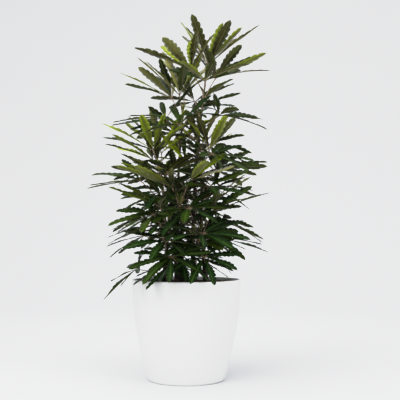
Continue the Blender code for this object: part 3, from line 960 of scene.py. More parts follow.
@dataclass(frozen=True)
class PlanterPlastic:
    """Moulded white polypropylene: an even satin with a very fine grain, a little dulled at its foot."""

    body: str = "#dededd"
    scuffed: str = "#d6d6d5"
    roughness: Pair = (0.36, 0.50)
    grain_mm: float = 1.6  # the real grain is finer than a pixel
    grain_depth_mm: float = 0.02
    scuff_mm: float = 22.0
    scuff_heights: Pair = (0.035, 0.0)
    scuff_shares: Pair = (0.1, 0.8)

    def material(self) -> bpy.types.Material:
        """Makes the finish.

        Returns:
            The material.
        """
        nodes = Nodes("moulded_white_polypropylene")
        cloudy = {"Vector": nodes.place, "Scale": 1000 / self.scuff_mm, "Detail": 6.0, "Roughness": 0.65}
        scuff = nodes.add_node("ShaderNodeTexNoise", cloudy)
        height = nodes.add_node("ShaderNodeSeparateXYZ", {"Vector": nodes.place}, "Z")
        near_foot = {"Value": height, FROM: self.scuff_heights, TO: self.scuff_shares}
        low = nodes.add_node("ShaderNodeMapRange", near_foot)
        dulled = nodes.add_node("ShaderNodeMath", {0: scuff, 1: low}, operation="MULTIPLY")
        colours = {"Factor": dulled, MIX_A: self.body, MIX_B: self.scuffed}
        fine = {"Vector": nodes.place, "Scale": 1000 / self.grain_mm, "Detail": 2.0}
        grain = nodes.add_node("ShaderNodeTexNoise", fine)
        relief = {"Height": grain, "Strength": 0.5, "Distance": self.grain_depth_mm / 1000}
        return nodes.shaded(
            {
                "Base Color": nodes.add_node("ShaderNodeMix", colours, MIX_RESULT, data_type="RGBA"),
                "Roughness": nodes.add_node("ShaderNodeMapRange", {"Value": scuff, TO: self.roughness}),
                "Normal": nodes.add_node("ShaderNodeBump", relief),
                "IOR": 1.49,
            }
        )


@dataclass(frozen=True)
class PottingMix:
    """Peat and bark, moist: nearly black between the crumbs and brown on top of them."""

    dark: str = "#1c1512"
    brown: str = "#3d2e22"
    crumb_mm: float = 3.5
    fine_mm: float = 3.5 / 2.6
    depth_mm: float = 1.6

    def material(self) -> bpy.types.Material:
        """Makes the finish.

        Returns:
            The material.
        """
        nodes = Nodes("moist_peat_and_bark")
        lumpy = {"Vector": nodes.place, "Scale": 1000 / self.crumb_mm}
        crumbs = nodes.add_node("ShaderNodeTexVoronoi", lumpy)
        cloudy = {"Vector": nodes.place, "Scale": 1000 / self.fine_mm, "Detail": 5.0}
        fine = nodes.add_node("ShaderNodeTexNoise", cloudy)
        colours = {"Factor": fine, MIX_A: self.dark, MIX_B: self.brown}
        relief = {"Height": crumbs, "Strength": 1.0, "Distance": self.depth_mm / 1000}
        return nodes.shaded(
            {
                "Base Color": nodes.add_node("ShaderNodeMix", colours, MIX_RESULT, data_type="RGBA"),
                "Roughness": 0.92,
                "Specular IOR Level": 0.25,
                "Normal": nodes.add_node("ShaderNodeBump", relief, invert=True),
            }
        )


@dataclass(frozen=True)
class BarkChip:
    """Broken conifer bark: dry, matt and red-brown, with pale torn edges."""

    dark: str = "#4a3424"
    pale: str = "#8a6b4c"
    grain_mm: float = 2.5

    def material(self) -> bpy.types.Material:
        """Makes the finish.

        Returns:
            The material.
        """
        nodes = Nodes("broken_conifer_bark")
        cloudy = {"Vector": nodes.place, "Scale": 1000 / self.grain_mm, "Detail": 4.0}
        grain = nodes.add_node("ShaderNodeTexNoise", cloudy)
        colours = {"Factor": grain, MIX_A: self.dark, MIX_B: self.pale}
        colour = nodes.add_node("ShaderNodeMix", colours, MIX_RESULT, data_type="RGBA")
        return nodes.shaded({"Base Color": colour, "Roughness": 0.9})


@dataclass(frozen=True)
class StemBark:
    """The stems' bark: grey-brown with pale dots and leaf scars low down, green and smooth at the tip."""

    old: str = "#2b231c"
    pale: str = "#574a3a"
    green: str = "#4c5030"
    dot_mm: float = 2.6
    dot_form: Triple = (1.0, 1.0, 2.4)  # the dots are squeezed this much along each axis
    dot_edge: Pair = (0.32, 0.16)
    scar_mm: float = 17.0
    scar_edge: Pair = (0.86, 1.0)
    depth_mm: float = 0.35

    def material(self) -> bpy.types.Material:
        """Makes the finish.

        Returns:
            The material.
        """
        nodes = Nodes("young_woody_bark")
        flat = nodes.add_node("ShaderNodeMapping", {"Vector": nodes.place, "Scale": self.dot_form})
        cells = nodes.add_node("ShaderNodeTexVoronoi", {"Vector": flat, "Scale": 1000 / self.dot_mm})
        dots = nodes.add_node("ShaderNodeMapRange", {"Value": cells, FROM: self.dot_edge})
        repeat = WAVE_REPEAT * 1000 / self.scar_mm
        wavy = {"Vector": nodes.place, "Scale": repeat, "Distortion": 1.2, "Detail": 1.0}
        bands = nodes.add_node("ShaderNodeTexWave", wavy, "Fac", bands_direction="Z")
        scars = nodes.add_node("ShaderNodeMapRange", {"Value": bands, FROM: self.scar_edge})
        raised = nodes.add_node("ShaderNodeMath", {0: dots, 1: scars}, operation="MAXIMUM")
        youth = nodes.add_node("ShaderNodeAttribute", out="Fac", attribute_name="youth")
        wood = {"Factor": raised, MIX_A: self.old, MIX_B: self.pale}
        bark = nodes.add_node("ShaderNodeMix", wood, MIX_RESULT, data_type="RGBA")
        greened = {"Factor": youth, MIX_A: bark, MIX_B: self.green}
        relief = {"Height": raised, "Strength": 0.8, "Distance": self.depth_mm / 1000}
        return nodes.shaded(
            {
                "Base Color": nodes.add_node("ShaderNodeMix", greened, MIX_RESULT, data_type="RGBA"),
                "Roughness": 0.75,
                "Normal": nodes.add_node("ShaderNodeBump", relief),
            }
        )


@dataclass(frozen=True)
class StalkSkin:
    """The leaf stalks and ribs: waxy, pale tan-green, flecked with dark spots."""

    skin: str = "#9c876e"
    spots: str = "#4e4234"
    spot_mm: float = 3.0
    spot_edge: Pair = (0.50, 0.62)

    def material(self) -> bpy.types.Material:
        """Makes the finish.

        Returns:
            The material.
        """
        nodes = Nodes("waxy_leaf_stalk")
        cloudy = {"Vector": nodes.place, "Scale": 1000 / self.spot_mm, "Detail": 2.0}
        cloud = nodes.add_node("ShaderNodeTexNoise", cloudy)
        spotted = nodes.add_node("ShaderNodeMapRange", {"Value": cloud, FROM: self.spot_edge})
        colours = {"Factor": spotted, MIX_A: self.skin, MIX_B: self.spots}
        colour = nodes.add_node("ShaderNodeMix", colours, MIX_RESULT, data_type="RGBA")
        return nodes.shaded({"Base Color": colour, "Roughness": 0.5})


@dataclass(frozen=True)
class LeafBlade:
    """The leaflets: leathery and satin, near-black green when old, bronze when young, some bright lime.

    The rib and the side veins are paler than the blade, and the under side is dull and greyer. They are
    read from the blade's own UV map, along it and across it, so they follow its curve.
    """

    young: str = "#84824e"
    middle: str = "#122404"
    old: str = "#1a3410"
    ages: Triple = (0.08, 0.34, 0.7)
    blue: str = "#132f1b"
    red: str = "#352c12"
    red_edge: Pair = (0.30, 0.60)
    blotch_mm: float = 14.0
    lime: str = "#bbcf2c"
    lime_out: Pair = (0.0, 0.38)  # from the rib to where a lime leaflet is lime in full
    lime_shares: Pair = (0.35, 1.0)
    under: str = "#4c5236"
    under_shares: Pair = (0.0, 0.45)
    rib: str = "#7a814a"
    rib_share: float = 0.4
    rib_edge: Pair = (0.045, 0.015)
    vein_lean: float = 1.6
    vein_edge: Pair = (0.10, 0.02)
    vein_shares: Pair = (0.0, 0.4)
    vein_depth_mm: float = 0.25
    tooth_length: float = 0.118
    dry: str = "#6b5a3f"
    dry_edge: Pair = (0.3, 0.75)
    roughness: Pair = (0.34, 0.62)  # of the upper side and the under side
    bloom: Pair = (0.24, 0.02)  # the young blades' greyish sheen, which fades over the bloom ages
    bloom_ages: Pair = (0.0, 0.38)

    def material(self) -> bpy.types.Material:
        """Makes the finish.

        Returns:
            The material.
        """
        nodes = Nodes("leathery_leaf_cuticle")
        age, tone, blue, lime, dry, under = (
            nodes.add_node("ShaderNodeAttribute", out="Fac", attribute_name=name)
            for name in (*LOOKS, "under")
        )
        map_at = nodes.add_node("ShaderNodeUVMap", uv_map="blade")
        along = nodes.add_node("ShaderNodeSeparateXYZ", {"Vector": map_at}, "X")
        across = nodes.add_node("ShaderNodeSeparateXYZ", {"Vector": map_at}, "Y")

        colour = nodes.add_node("ShaderNodeValToRGB", {"Fac": age})
        stops = colour.node.color_ramp.elements
        stops.new(self.ages[1])
        for stop, position, green in zip(stops, self.ages, (self.young, self.middle, self.old)):
            stop.position = position
            stop.color = linear(green)

        cloudy = {"Vector": nodes.place, "Scale": 1000 / self.blotch_mm, "Detail": 3.0}
        blotch = nodes.add_node("ShaderNodeTexNoise", cloudy)
        uneven = nodes.add_node("ShaderNodeMath", {0: blotch, 1: tone}, operation="MULTIPLY")
        reddened = nodes.add_node("ShaderNodeMapRange", {"Value": uneven, FROM: self.red_edge})

        # From 0 at the blade's rib to 0.5 at its edge, which turns lime before the middle does.
        off = nodes.add_node("ShaderNodeMath", {0: across, 1: 0.5}, operation="SUBTRACT")
        aside = nodes.add_node("ShaderNodeMath", {0: off}, operation="ABSOLUTE")
        outwards = {"Value": aside, FROM: self.lime_out, TO: self.lime_shares}
        outer = nodes.add_node("ShaderNodeMapRange", outwards)
        limed = nodes.add_node("ShaderNodeMath", {0: lime, 1: outer}, operation="MULTIPLY")
        dulled = nodes.add_node("ShaderNodeMapRange", {"Value": under, TO: self.under_shares})

        # One side vein runs forward to each tooth.
        soft = {"interpolation_type": "SMOOTHSTEP"}
        rib = nodes.add_node("ShaderNodeMapRange", {"Value": aside, FROM: self.rib_edge}, **soft)
        teeth = nodes.add_node("ShaderNodeMath", {0: along, 1: 1 / self.tooth_length}, operation="MULTIPLY")
        lean = nodes.add_node("ShaderNodeMath", {0: aside, 1: self.vein_lean}, operation="MULTIPLY")
        run = nodes.add_node("ShaderNodeMath", {0: teeth, 1: lean}, operation="SUBTRACT")
        part = nodes.add_node("ShaderNodeMath", {0: run, 1: 1.0}, operation="PINGPONG")
        crossing = {"Value": part, FROM: self.vein_edge, TO: self.vein_shares}
        vein = nodes.add_node("ShaderNodeMapRange", crossing, **soft)
        lines = nodes.add_node("ShaderNodeMath", {0: rib, 1: vein}, operation="MAXIMUM")
        veined = nodes.add_node("ShaderNodeMath", {0: lines, 1: self.rib_share}, operation="MULTIPLY")
        relief = {"Height": lines, "Strength": 0.7, "Distance": self.vein_depth_mm / 1000}

        # A dry leaflet is tan at its tip first.
        tip = nodes.add_node("ShaderNodeMapRange", {"Value": along, FROM: self.dry_edge})
        crisp = nodes.add_node("ShaderNodeMath", {0: tip, 1: dry}, operation="MULTIPLY")

        # Each layer covers those below it by its share.
        layers = (
            (blue, self.blue),
            (reddened, self.red),
            (limed, self.lime),
            (dulled, self.under),
            (veined, self.rib),
            (crisp, self.dry),
        )
        for share, over in layers:
            colours = {"Factor": share, MIX_A: colour, MIX_B: over}
            colour = nodes.add_node("ShaderNodeMix", colours, MIX_RESULT, data_type="RGBA")
        bloomed = {"Value": age, FROM: self.bloom_ages, TO: self.bloom}
        return nodes.shaded(
            {
                "Base Color": colour,
                "Roughness": nodes.add_node("ShaderNodeMapRange", {"Value": under, TO: self.roughness}),
                "IOR": 1.45,
                "Specular IOR Level": 0.12,
                "Sheen Weight": nodes.add_node("ShaderNodeMapRange", bloomed),
                "Sheen Roughness": 0.35,
                "Normal": nodes.add_node("ShaderNodeBump", relief, invert=True),
            }
        )


@dataclass(frozen=True)
class StudioPaper:
    """The pale matt surface that the planter stands on."""

    colour: str = "#d4d5d7"
    roughness: Pair = (0.85, 0.95)
    fibre_mm: float = 10 / 9

    def material(self) -> bpy.types.Material:
        """Makes the finish.

        Returns:
            The material.
        """
        nodes = Nodes("matt_studio_paper")
        cloudy = {"Vector": nodes.place, "Scale": 1000 / self.fibre_mm, "Detail": 2.0}
        fibre = nodes.add_node("ShaderNodeTexNoise", cloudy)
        rough = nodes.add_node("ShaderNodeMapRange", {"Value": fibre, TO: self.roughness})
        return nodes.shaded({"Base Color": self.colour, "Roughness": rough, "Specular IOR Level": 0.2})


# The pieces


@dataclass(frozen=True)
class Planter:
    """The planter: a swelling wall on a flat foot, open at the top, with a thicker rounded rim."""

    sizes: PlanterSizes
    finish: PlanterPlastic = PlanterPlastic()
    steps: int = 128
    wall_points: int = 22
    round_points: int = 6
    inner_corner: Pair = (0.004, 0.003)  # in from the wall and up from the floor
    foot_from: float = -0.2  # the angle at which the foot's rounding leaves the wall
    sharp_edge: float = math.radians(40)

    def rounded(self, centre: Pair, radius: float, ends: Pair) -> list[Pair]:
        """Lists points round a corner.

        Args:
            centre: the middle of the rounding, as radius and height.
            radius: the rounding's own radius.
            ends: the angles at its first and last points, from straight out towards up.

        Returns:
            The points, as (radius, height).
        """
        turns = [between(ends, share) for share in shares(self.round_points)]
        return [(centre[0] + math.cos(t) * radius, centre[1] + math.sin(t) * radius) for t in turns]

    def profile(self) -> list[Pair]:
        """Lists the wall's points.

        Returns:
            Points from the inside's centre, up the inner wall, over the rim and down to the foot's centre.
        """
        pot = self.sizes
        lip = pot.rim / 2
        ends = (pot.foot_round, pot.height - pot.rim_depth)
        heights = [between(ends, share) for share in shares(self.wall_points)]
        corner_in, corner_up = self.inner_corner
        inside = [(0.0, pot.floor), (pot.wall_radius(0) - pot.wall - corner_in, pot.floor)]
        inside += [(pot.wall_radius(z) - pot.wall, z) for z in heights if z > pot.floor + corner_up]
        mouth = pot.top_radius - pot.rim
        inside.append((mouth, pot.height - pot.rim_depth + lip / 2))
        rim = self.rounded((mouth + lip, pot.height - lip), lip, (math.pi, 0.0))
        outside = [(pot.wall_radius(z), z) for z in reversed(heights)]
        foot_centre = (pot.wall_radius(0) - pot.foot_round, pot.foot_round)
        foot = self.rounded(foot_centre, pot.foot_round, (self.foot_from, -math.pi / 2))
        return inside + rim + outside + foot + [(0.0, 0.0)]

    def build(self) -> bpy.types.Object:
        """Makes the planter and gives it its place in the frame.

        Returns:
            The planter.
        """
        obj = object_from("planter", turned(self.profile(), self.steps), self.finish.material())
        obj.data.set_sharp_from_angle(angle=self.sharp_edge)
        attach(obj, "root")
        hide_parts("pot")
        return obj


@dataclass(frozen=True)
class SoilBed:
    """The potting mix: one lumpy body that fills the planter, with loose crumbs and bark chips on top."""

    sizes: PlanterSizes
    mix: PottingMix = PottingMix()
    chip: BarkChip = BarkChip()
    gap: float = 0.0003
    wall_gaps: int = 3  # how many gaps wide its clearance from the planter's wall is
    steps: int = 96
    rings: int = 34
    side_rings: int = 7
    fine_bump: float = 0.0012
    fine_bump_size: float = 0.006
    chips: int = 170
    crumbs: int = 230
    chip_size: Pair = (0.003, 0.0085)
    crumb_size: Pair = (0.0015, 0.0035)
    lump_width: Pair = (0.45, 0.8)  # as shares of its length
    lump_height: Pair = (0.25, 0.5)
    lump_stray: Pair = (0.82, 1.15)
    lump_tilt: Pair = (-0.5, 0.5)

    def surface(self, x: float, y: float) -> float:
        """Returns the height of the finished surface, with its fine lumps."""
        fine = noise.noise(Vector((x, y, 1.0)) / self.fine_bump_size)
        return self.sizes.soil_height(x, y) + self.fine_bump * fine

    def body(self) -> bpy.types.Object:
        """Makes the body of the soil.

        Returns:
            The body, closed on the planter's floor.
        """
        pot = self.sizes
        top = pot.height - pot.soil_below_rim
        bottom = pot.floor + self.gap
        slack = pot.wall + self.wall_gaps * self.gap
        profile = [((pot.wall_radius(top) - slack) * share, top) for share in shares(self.rings + 1)]
        heights = [between((top, bottom), share) for share in shares(self.side_rings + 1)[1:-1]]
        profile += [(pot.wall_radius(z) - slack, z) for z in heights]
        profile += [(pot.wall_radius(0) - slack, bottom), (0.0, bottom)]
        work = turned(profile, self.steps)
        for vert in work.verts:
            if vert.co.z > top - WELD:
                vert.co.z = self.surface(vert.co.x, vert.co.y)
        return object_from("potting_mix", work, self.mix.material())

    def scattered(self, name: str, count: int, size: Pair, material: bpy.types.Material) -> bpy.types.Object:
        """Scatters small flat lumps over the surface, sunk a little into it.

        Args:
            name: the piece's name.
            count: how many lumps it has.
            size: the smallest and the largest half-length.
            material: their finish.

        Returns:
            The lumps, as one piece.
        """
        draw = random.Random(count)
        work = bmesh.new()
        edge = self.sizes.top_radius - self.sizes.rim - 2 * size[1]
        for _ in range(count):
            reach = edge * math.sqrt(draw.random())
            bearing = draw.uniform(0, math.tau)
            x, y = math.cos(bearing) * reach, math.sin(bearing) * reach
            long = between(size, draw.random() ** 2)
            made = bmesh.ops.create_icosphere(work, subdivisions=1, radius=1.0)["verts"]
            shape = (long, long * draw.uniform(*self.lump_width), long * draw.uniform(*self.lump_height))
            bmesh.ops.scale(work, vec=shape, verts=made)
            for vert in made:
                vert.co *= draw.uniform(*self.lump_stray)
            tilts = (draw.uniform(*self.lump_tilt), draw.uniform(*self.lump_tilt))
            turn = Euler((*tilts, draw.uniform(0, math.tau)))
            bmesh.ops.rotate(work, cent=(0, 0, 0), matrix=turn.to_matrix(), verts=made)
            bmesh.ops.translate(work, vec=(x, y, self.surface(x, y)), verts=made)
        return object_from(name, work, material)

    def build(self) -> list[bpy.types.Object]:
        """Makes the soil and what lies on it.

        Returns:
            The body, the crumbs and the chips.
        """
        body = self.body()
        crumbs = self.scattered("peat_crumbs", self.crumbs, self.crumb_size, body.data.materials[0])
        chips = self.scattered("bark_chips", self.chips, self.chip_size, self.chip.material())
        for obj in (body, crumbs, chips):
            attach(obj, "root")
            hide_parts("soil")
        return [body, crumbs, chips]


@dataclass(frozen=True)
class Blades:
    """The leaflets' form: how their teeth, their edges and their thickness run."""

    growth: Growth
    finish: LeafBlade = LeafBlade()
    teeth: int = 6
    smooth_shares: tuple[float, ...] = (0.0, 0.07, 0.13, 0.20)
    first_notch: float = 0.25
    tooth_bends: tuple[Pair, ...] = ((0.0, 0.72), (0.28, 0.93), (0.62, 1.05), (0.90, 1.0))
    rib_half: float = 0.0006
    rib_taper: float = 1.15
    root_half: float = 0.0011
    wavy_half: float = 0.010
    wave: float = 0.0016
    wave_turns: float = 1.4
    wave_aside: float = 0.9  # how far apart the waves of the two edges are, as an angle
    curl: float = 0.0007

    def stations(self) -> list[Pair]:
        """Lists the blade's rings of points.

        Returns:
            For each, its share of the rib and its width as a factor of the outline's.
        """
        length = self.finish.tooth_length
        found = [(share, 1.0) for share in self.smooth_shares]
        for tooth in range(self.teeth):
            start = self.first_notch + length * tooth
            found += [(start + length * on, factor) for on, factor in self.tooth_bends]
        return found + [(1.0, 1.0)]

    def blank(self) -> bpy.types.Mesh:
        """Makes the flat form that every leaflet starts from.

        Returns:
            A closed lens: x counts its rings, y runs from -1 to 1 across, and z is 1 on its upper side's
            rib, -1 on its under side's and 0 at the edge that both share.
        """
        last = len(self.stations()) - 1
        work = bmesh.new()
        side = work.faces.layers.float.new("under")
        bmesh.ops.create_grid(work, x_segments=last, y_segments=2, size=1.0)
        upper = list(work.verts)
        copied = bmesh.ops.duplicate(work, geom=upper + list(work.edges) + list(work.faces))["geom"]
        under = [part for part in copied if isinstance(part, bmesh.types.BMVert)]
        under_faces = [part for part in copied if isinstance(part, bmesh.types.BMFace)]
        for face in under_faces:
            face[side] = 1.0
        bmesh.ops.reverse_faces(work, faces=under_faces)
        for verts, turned_to in ((upper, BladeSide.UPPER), (under, BladeSide.UNDER)):
            for vert in verts:
                vert.co.x = round((vert.co.x + 1) / 2 * last)
                if vert.co.x == last:
                    vert.co.y = 0.0
                elif abs(vert.co.y) < 0.5:
                    vert.co.z = turned_to.value
        bmesh.ops.remove_doubles(work, verts=work.verts, dist=WELD)
        bmesh.ops.holes_fill(work, edges=[edge for edge in work.edges if edge.is_boundary], sides=0)
        bmesh.ops.recalc_face_normals(work, faces=work.faces)
        mesh = bpy.data.meshes.new("leaflet_blank")
        work.to_mesh(mesh)
        work.free()
        return mesh

    def lift_at(self, ring: int, side: float, half: float, phase: float) -> float:
        """Finds how far an edge stands off the blade's plane.

        Args:
            ring: the ring's number.
            side: 1 or -1, the edge's side.
            half: half the blade's width there.
            phase: where the leaflet's long wave starts.

        Returns:
            The distance, up or down.
        """
        share = ring / (len(self.stations()) - 1)
        angle = phase + share * math.tau * self.wave_turns + side * self.wave_aside
        curl = self.curl if ring % len(self.tooth_bends) else -self.curl
        return (math.sin(angle) * self.wave + curl) * min(1.0, half / self.wavy_half)

    def add(
        self,
        work: bmesh.types.BMesh,
        blank: bpy.types.Mesh,
        leaflet: Leaflet,
        looks: dict[str, float],
        phase: float = 0.0,
    ) -> None:
        """Adds one leaflet to the mesh work.

        Args:
            work: the leaves' mesh work.
            blank: the flat form of a leaflet.
            leaflet: where the leaflet stands.
            looks: what its vertices carry for the finish.
            phase: where its long wave starts.
        """
        before = len(work.verts)
        work.from_mesh(blank)
        work.verts.ensure_lookup_table()
        stations = self.stations()
        layers = {name: work.verts.layers.float[name] for name in looks}
        uv = work.loops.layers.uv["blade"]
        for vert in work.verts[before:]:
            ring, across, side = round(vert.co.x), vert.co.y, vert.co.z
            share, factor = stations[ring]
            for name, value in looks.items():
                vert[layers[name]] = value
            for loop in vert.link_loops:
                loop[uv].uv = (share, across / 2 + 0.5)
            outline = self.growth.half_width(leaflet, share)
            if abs(across) < 0.5:
                keel = self.growth.keel * outline
                thick = self.rib_half * (self.rib_taper - share)
                vert.co = self.growth.blade_point(leaflet, share, 0.0, thick * side - keel)
            else:
                half = max(outline, self.root_half * (1 - share)) * factor
                lift = self.lift_at(ring, across, half, phase)
                vert.co = self.growth.blade_point(leaflet, share, across * half, lift)


@dataclass(frozen=True)
class LeafyStems:
    """The plant: ten stems, each with its wood, its leaf stalks and ribs, and its leaflets."""

    sizes: PlanterSizes
    growth: Growth
    blades: Blades
    bark: StemBark = StemBark()
    skin: StalkSkin = StalkSkin()

    # The wood. Its bud's points are heights above the tip, with shares of the radius there.
    wood_points: int = 90
    wood_resolution: int = 3
    scar_swelling: float = 0.10
    scar_spacing: float = 0.019
    scar_length: float = 1 / 8  # as a share of the spacing
    scar_shift: float = 0.37
    bud: tuple[Pair, ...] = ((0.006, 0.8), (0.013, 0.25))
    green_from: float = 0.46875
    green_over: float = 0.625

    # The stalks and the ribs. Heel and joint are the swollen ends of a stalk, as shares of its length.
    stalk_steps: int = 9
    stalk_resolution: int = 1
    stalk_foot_share: float = 0.85
    heel: float = 1 / 9
    heel_radius: float = 0.0036
    joint: float = 0.1
    joint_radius: float = 0.0026
    rib_shares: tuple[float, ...] = (0.0, 0.07, 0.2, 0.4, 0.6, 0.8, 0.96)
    rib_radius: float = 0.00085
    rib_sunk: float = 0.35
    rib_sunk_by: float = 0.2

    # The small leaves inside the plant.
    sprig_count: int = 15
    sprig_levels: Pair = (0.35, 0.82)
    sprig_end: float = 0.8
    sprig_rise: Pair = (0.2, 1.2)
    sprig_stalk: Pair = (0.018, 0.05)
    sprig_size: Pair = (0.42, 0.62)
    fewest_on_sprig: int = 2

    # The folded young leaflets at a stem's tip.
    shoot_count: int = 5
    shoot_stray: Pair = (-0.3, 0.3)
    shoot_rise: Pair = (1.0, 1.35)
    shoot_droop: Pair = (0.0, 0.3)
    shoot_roll: Pair = (-0.4, 0.4)
    shoot_length: float = 0.045
    shoot_size: Pair = (0.6, 1.2)
    shoot_width: float = 0.007
    shoot_tone: float = 0.2
    shoot_lime: float = 0.6

    # Colours. A pair named for a chance or a share has its value on low stems and on high ones. The other
    # pairs are the ranges of random draws.
    blued: Pair = (-1.5, 0.8)
    shaded_tip: float = 0.45
    sunny_tip: float = 0.66
    topmost_above: float = 0.2
    lime_age: float = 0.36
    lime_chance: Pair = (0.62, 0.26)
    lime_share: Pair = (0.9, 0.56)
    lime: Pair = (0.75, 1.0)
    plain: Pair = (0.0, 0.12)
    bronze_share: Pair = (0.7, 1.5)
    # Painted shade: the leaves of the lower stems, under the crown, are given older and darker colours than
    # their age.
    painted_shade_share: Pair = (0.2, 0.05)
    age_stray: Pair = (-0.22, 0.22)
    tone_stray: Pair = (-0.25, 0.25)
    dry_age: float = 0.85
    dry_chance: float = 0.05
    dried: Pair = (0.5, 1.0)

    def wood(self, stem: Stem, bark: bpy.types.Material) -> bpy.types.Object:
        """Makes a stem's wood, with a slight swelling at each old leaf's scar and a bud at its tip.

        Args:
            stem: the stem.
            bark: its finish.

        Returns:
            The wood.
        """
        buried = self.sizes.height - self.sizes.soil_below_rim - self.growth.stem_buried
        line = [(Vector((*stem.foot, buried)), self.growth.stem_foot_radius)]
        for share in shares(self.wood_points):
            point = self.growth.stem_point(stem, share)
            near = abs((point.z / self.scar_spacing + stem.seed * self.scar_shift) % 1 - 0.5)
            swelling = 1 + self.scar_swelling * max(0.0, 1 - near / self.scar_length)
            line.append((point, self.growth.stem_radius(share) * swelling))
        tip, radius = line[-1]
        line += [(tip + Vector((0, 0, above)), radius * share) for above, share in self.bud]
        obj = tubes(stem.name + "_wood", [line], self.wood_resolution, bark)
        youth = obj.data.attributes.new("youth", "FLOAT", "POINT")
        for vert in obj.data.vertices:
            share = (vert.co.z - self.sizes.height) / (stem.tip[2] - self.sizes.height)
            youth.data[vert.index].value = clamped((share - self.green_from) / self.green_over)
        return obj

    def stalk_line(self, leaf: Leaf) -> Line:
        """Lists a leaf stalk's points and radii: a swollen heel on the stem, a slim middle and a joint.

        Args:
            leaf: the leaf.

        Returns:
            The points with the radius at each.
        """
        line = []
        ends = (self.growth.stalk_foot_radius * self.stalk_foot_share, self.growth.stalk_tip_radius)
        for share in shares(self.stalk_steps):
            slim = between(ends, share)
            heel = between((slim, self.heel_radius), clamped(1 - share / self.heel))
            joint = between((slim, self.joint_radius), clamped(1 - (1 - share) / self.joint))
            line.append((leaf.stalk.at(share)[0], max(slim, heel, joint)))
        return line

    def rib_line(self, leaflet: Leaflet) -> Line:
        """Lists a leaflet's own short stalk and its rib, which stands out of the blade's under side.

        Args:
            leaflet: the leaflet.

        Returns:
            The points with the radius at each.
        """
        line = []
        for share in self.rib_shares:
            keel = self.growth.keel * self.growth.half_width(leaflet, share)
            sunk = keel + self.rib_radius * self.rib_sunk * min(1.0, share / self.rib_sunk_by)
            point = self.growth.blade_point(leaflet, share, 0.0, -sunk)
            line.append((point, self.rib_radius * (self.blades.rib_taper - share)))
        return line

    def stalks(self, stem: Stem, leaves: list[Leaf], skin: bpy.types.Material) -> bpy.types.Object:
        """Makes all of a stem's leaf stalks and ribs as one piece.

        Args:
            stem: the stem.
            leaves: its leaves.
            skin: their finish.

        Returns:
            The stalks.
        """
        lines = [self.stalk_line(leaf) for leaf in leaves]
        lines += [self.rib_line(leaflet) for leaf in leaves for leaflet in leaf.leaflets]
        return tubes(stem.name + "_stalks", lines, self.stalk_resolution, skin)

    def shoot(self, stem: Stem) -> list[Leaflet]:
        """Makes the folded young leaflets round a stem's tip.

        Args:
            stem: the stem.

        Returns:
            A few short, steep leaflets.
        """
        draw = stem.draws(Draw.SHOOT)
        return [
            Leaflet(
                number=number,
                root=Vector(stem.tip),
                facing=Vector((0, 0, 1)),
                heading=math.tau * number / self.shoot_count + draw.uniform(*self.shoot_stray),
                rise=draw.uniform(*self.shoot_rise),
                droop=draw.uniform(*self.shoot_droop),
                roll=draw.uniform(*self.shoot_roll),
                length=self.shoot_length * draw.uniform(*self.shoot_size),
                width=self.shoot_width,
            )
            for number in range(self.shoot_count)
        ]

    def sprigs(self, stem: Stem, hulls: list[Hull]) -> list[Leaf]:
        """Grows small leaves on the lower part of a stem, in the room that the large ones leave.

        Args:
            stem: the stem.
            hulls: what stands already, to which the sprigs' own hulls are added.

        Returns:
            The small leaves.
        """
        draw = stem.draws(Draw.SPRIGS)
        made = []
        for index in range(self.sprig_count):
            foot = between(self.sprig_levels, draw.random()) - self.sizes.height
            share = foot / (stem.tip[2] - self.sizes.height)
            way, rise = draw.uniform(0, math.tau), draw.uniform(*self.sprig_rise)
            length = draw.uniform(*self.sprig_stalk)
            if share > self.sprig_end:
                continue
            label = f"{stem.name}_sprig_{index}"
            root = self.growth.stem_point(stem, share)
            planned = Stalk(root, way, rise, self.growth.stalk_sag, length)
            stalk, own = self.growth.placed_stalk(planned, stem, label, hulls)
            if not stalk:
                continue
            hub, axis, whorl = self.growth.planned_leaflets(stalk, 1.0, draw)
            small = []
            for leaflet in whorl[::2]:
                size = draw.uniform(*self.sprig_size)
                small.append(replace(leaflet, length=leaflet.length * size, width=leaflet.width * size))
            kept, around = self.growth.placed_whorl(small, label, hulls + own)
            if len(kept) >= self.fewest_on_sprig:
                hulls += own + around
                made.append(Leaf(label, stalk, 1.0, axis, hub, kept))
        return made

    def leaves(
        self, stem: Stem, leaves: list[Leaf], blank: bpy.types.Mesh, cuticle: bpy.types.Material
    ) -> bpy.types.Object:
        """Makes all of a stem's leaflets as one piece.

        Args:
            stem: the stem.
            leaves: its leaves.
            blank: the flat form of a leaflet.
            cuticle: the blades' material.

        Returns:
            The leaflets.
        """
        draw = stem.draws(Draw.LOOKS)
        sun = clamped((stem.tip[2] - self.shaded_tip) / (self.sunny_tip - self.shaded_tip))
        topmost = clamped((stem.tip[2] - self.sunny_tip) / self.topmost_above)
        lime_chance = between(self.lime_chance, topmost)
        lime_share = between(self.lime_share, topmost) * sun
        bronze = between(self.bronze_share, sun)
        # Painted shade: the lower a stem, the further its leaves' age is pushed towards the dark old colours.
        painted_shade_age = between(self.painted_shade_share, topmost)
        work = bmesh.new()
        work.loops.layers.uv.new("blade")
        for name in LOOKS:
            work.verts.layers.float.new(name)
        work.faces.layers.float.new("under")
        for leaf in leaves:
            tone = draw.random()
            for leaflet in leaf.leaflets:
                fresh = leaf.age < self.lime_age and draw.random() < lime_chance
                dry = leaf.age > self.dry_age and draw.random() < self.dry_chance
                looks = {
                    "age": clamped(leaf.age + painted_shade_age + draw.uniform(*self.age_stray)),
                    "tone": (tone + draw.uniform(*self.tone_stray)) * (1 - leaf.age) * bronze,
                    "blue": draw.uniform(*self.blued) * leaf.age,
                    "lime": draw.uniform(*(self.lime if fresh else self.plain)) * lime_share,
                    "dry": draw.uniform(*self.dried) if dry else 0.0,
                }
                self.blades.add(work, blank, leaflet, looks, draw.uniform(0, math.tau))
        looks = dict.fromkeys(LOOKS, 0.0) | {"tone": self.shoot_tone, "lime": self.shoot_lime * lime_share}
        for leaflet in self.shoot(stem):
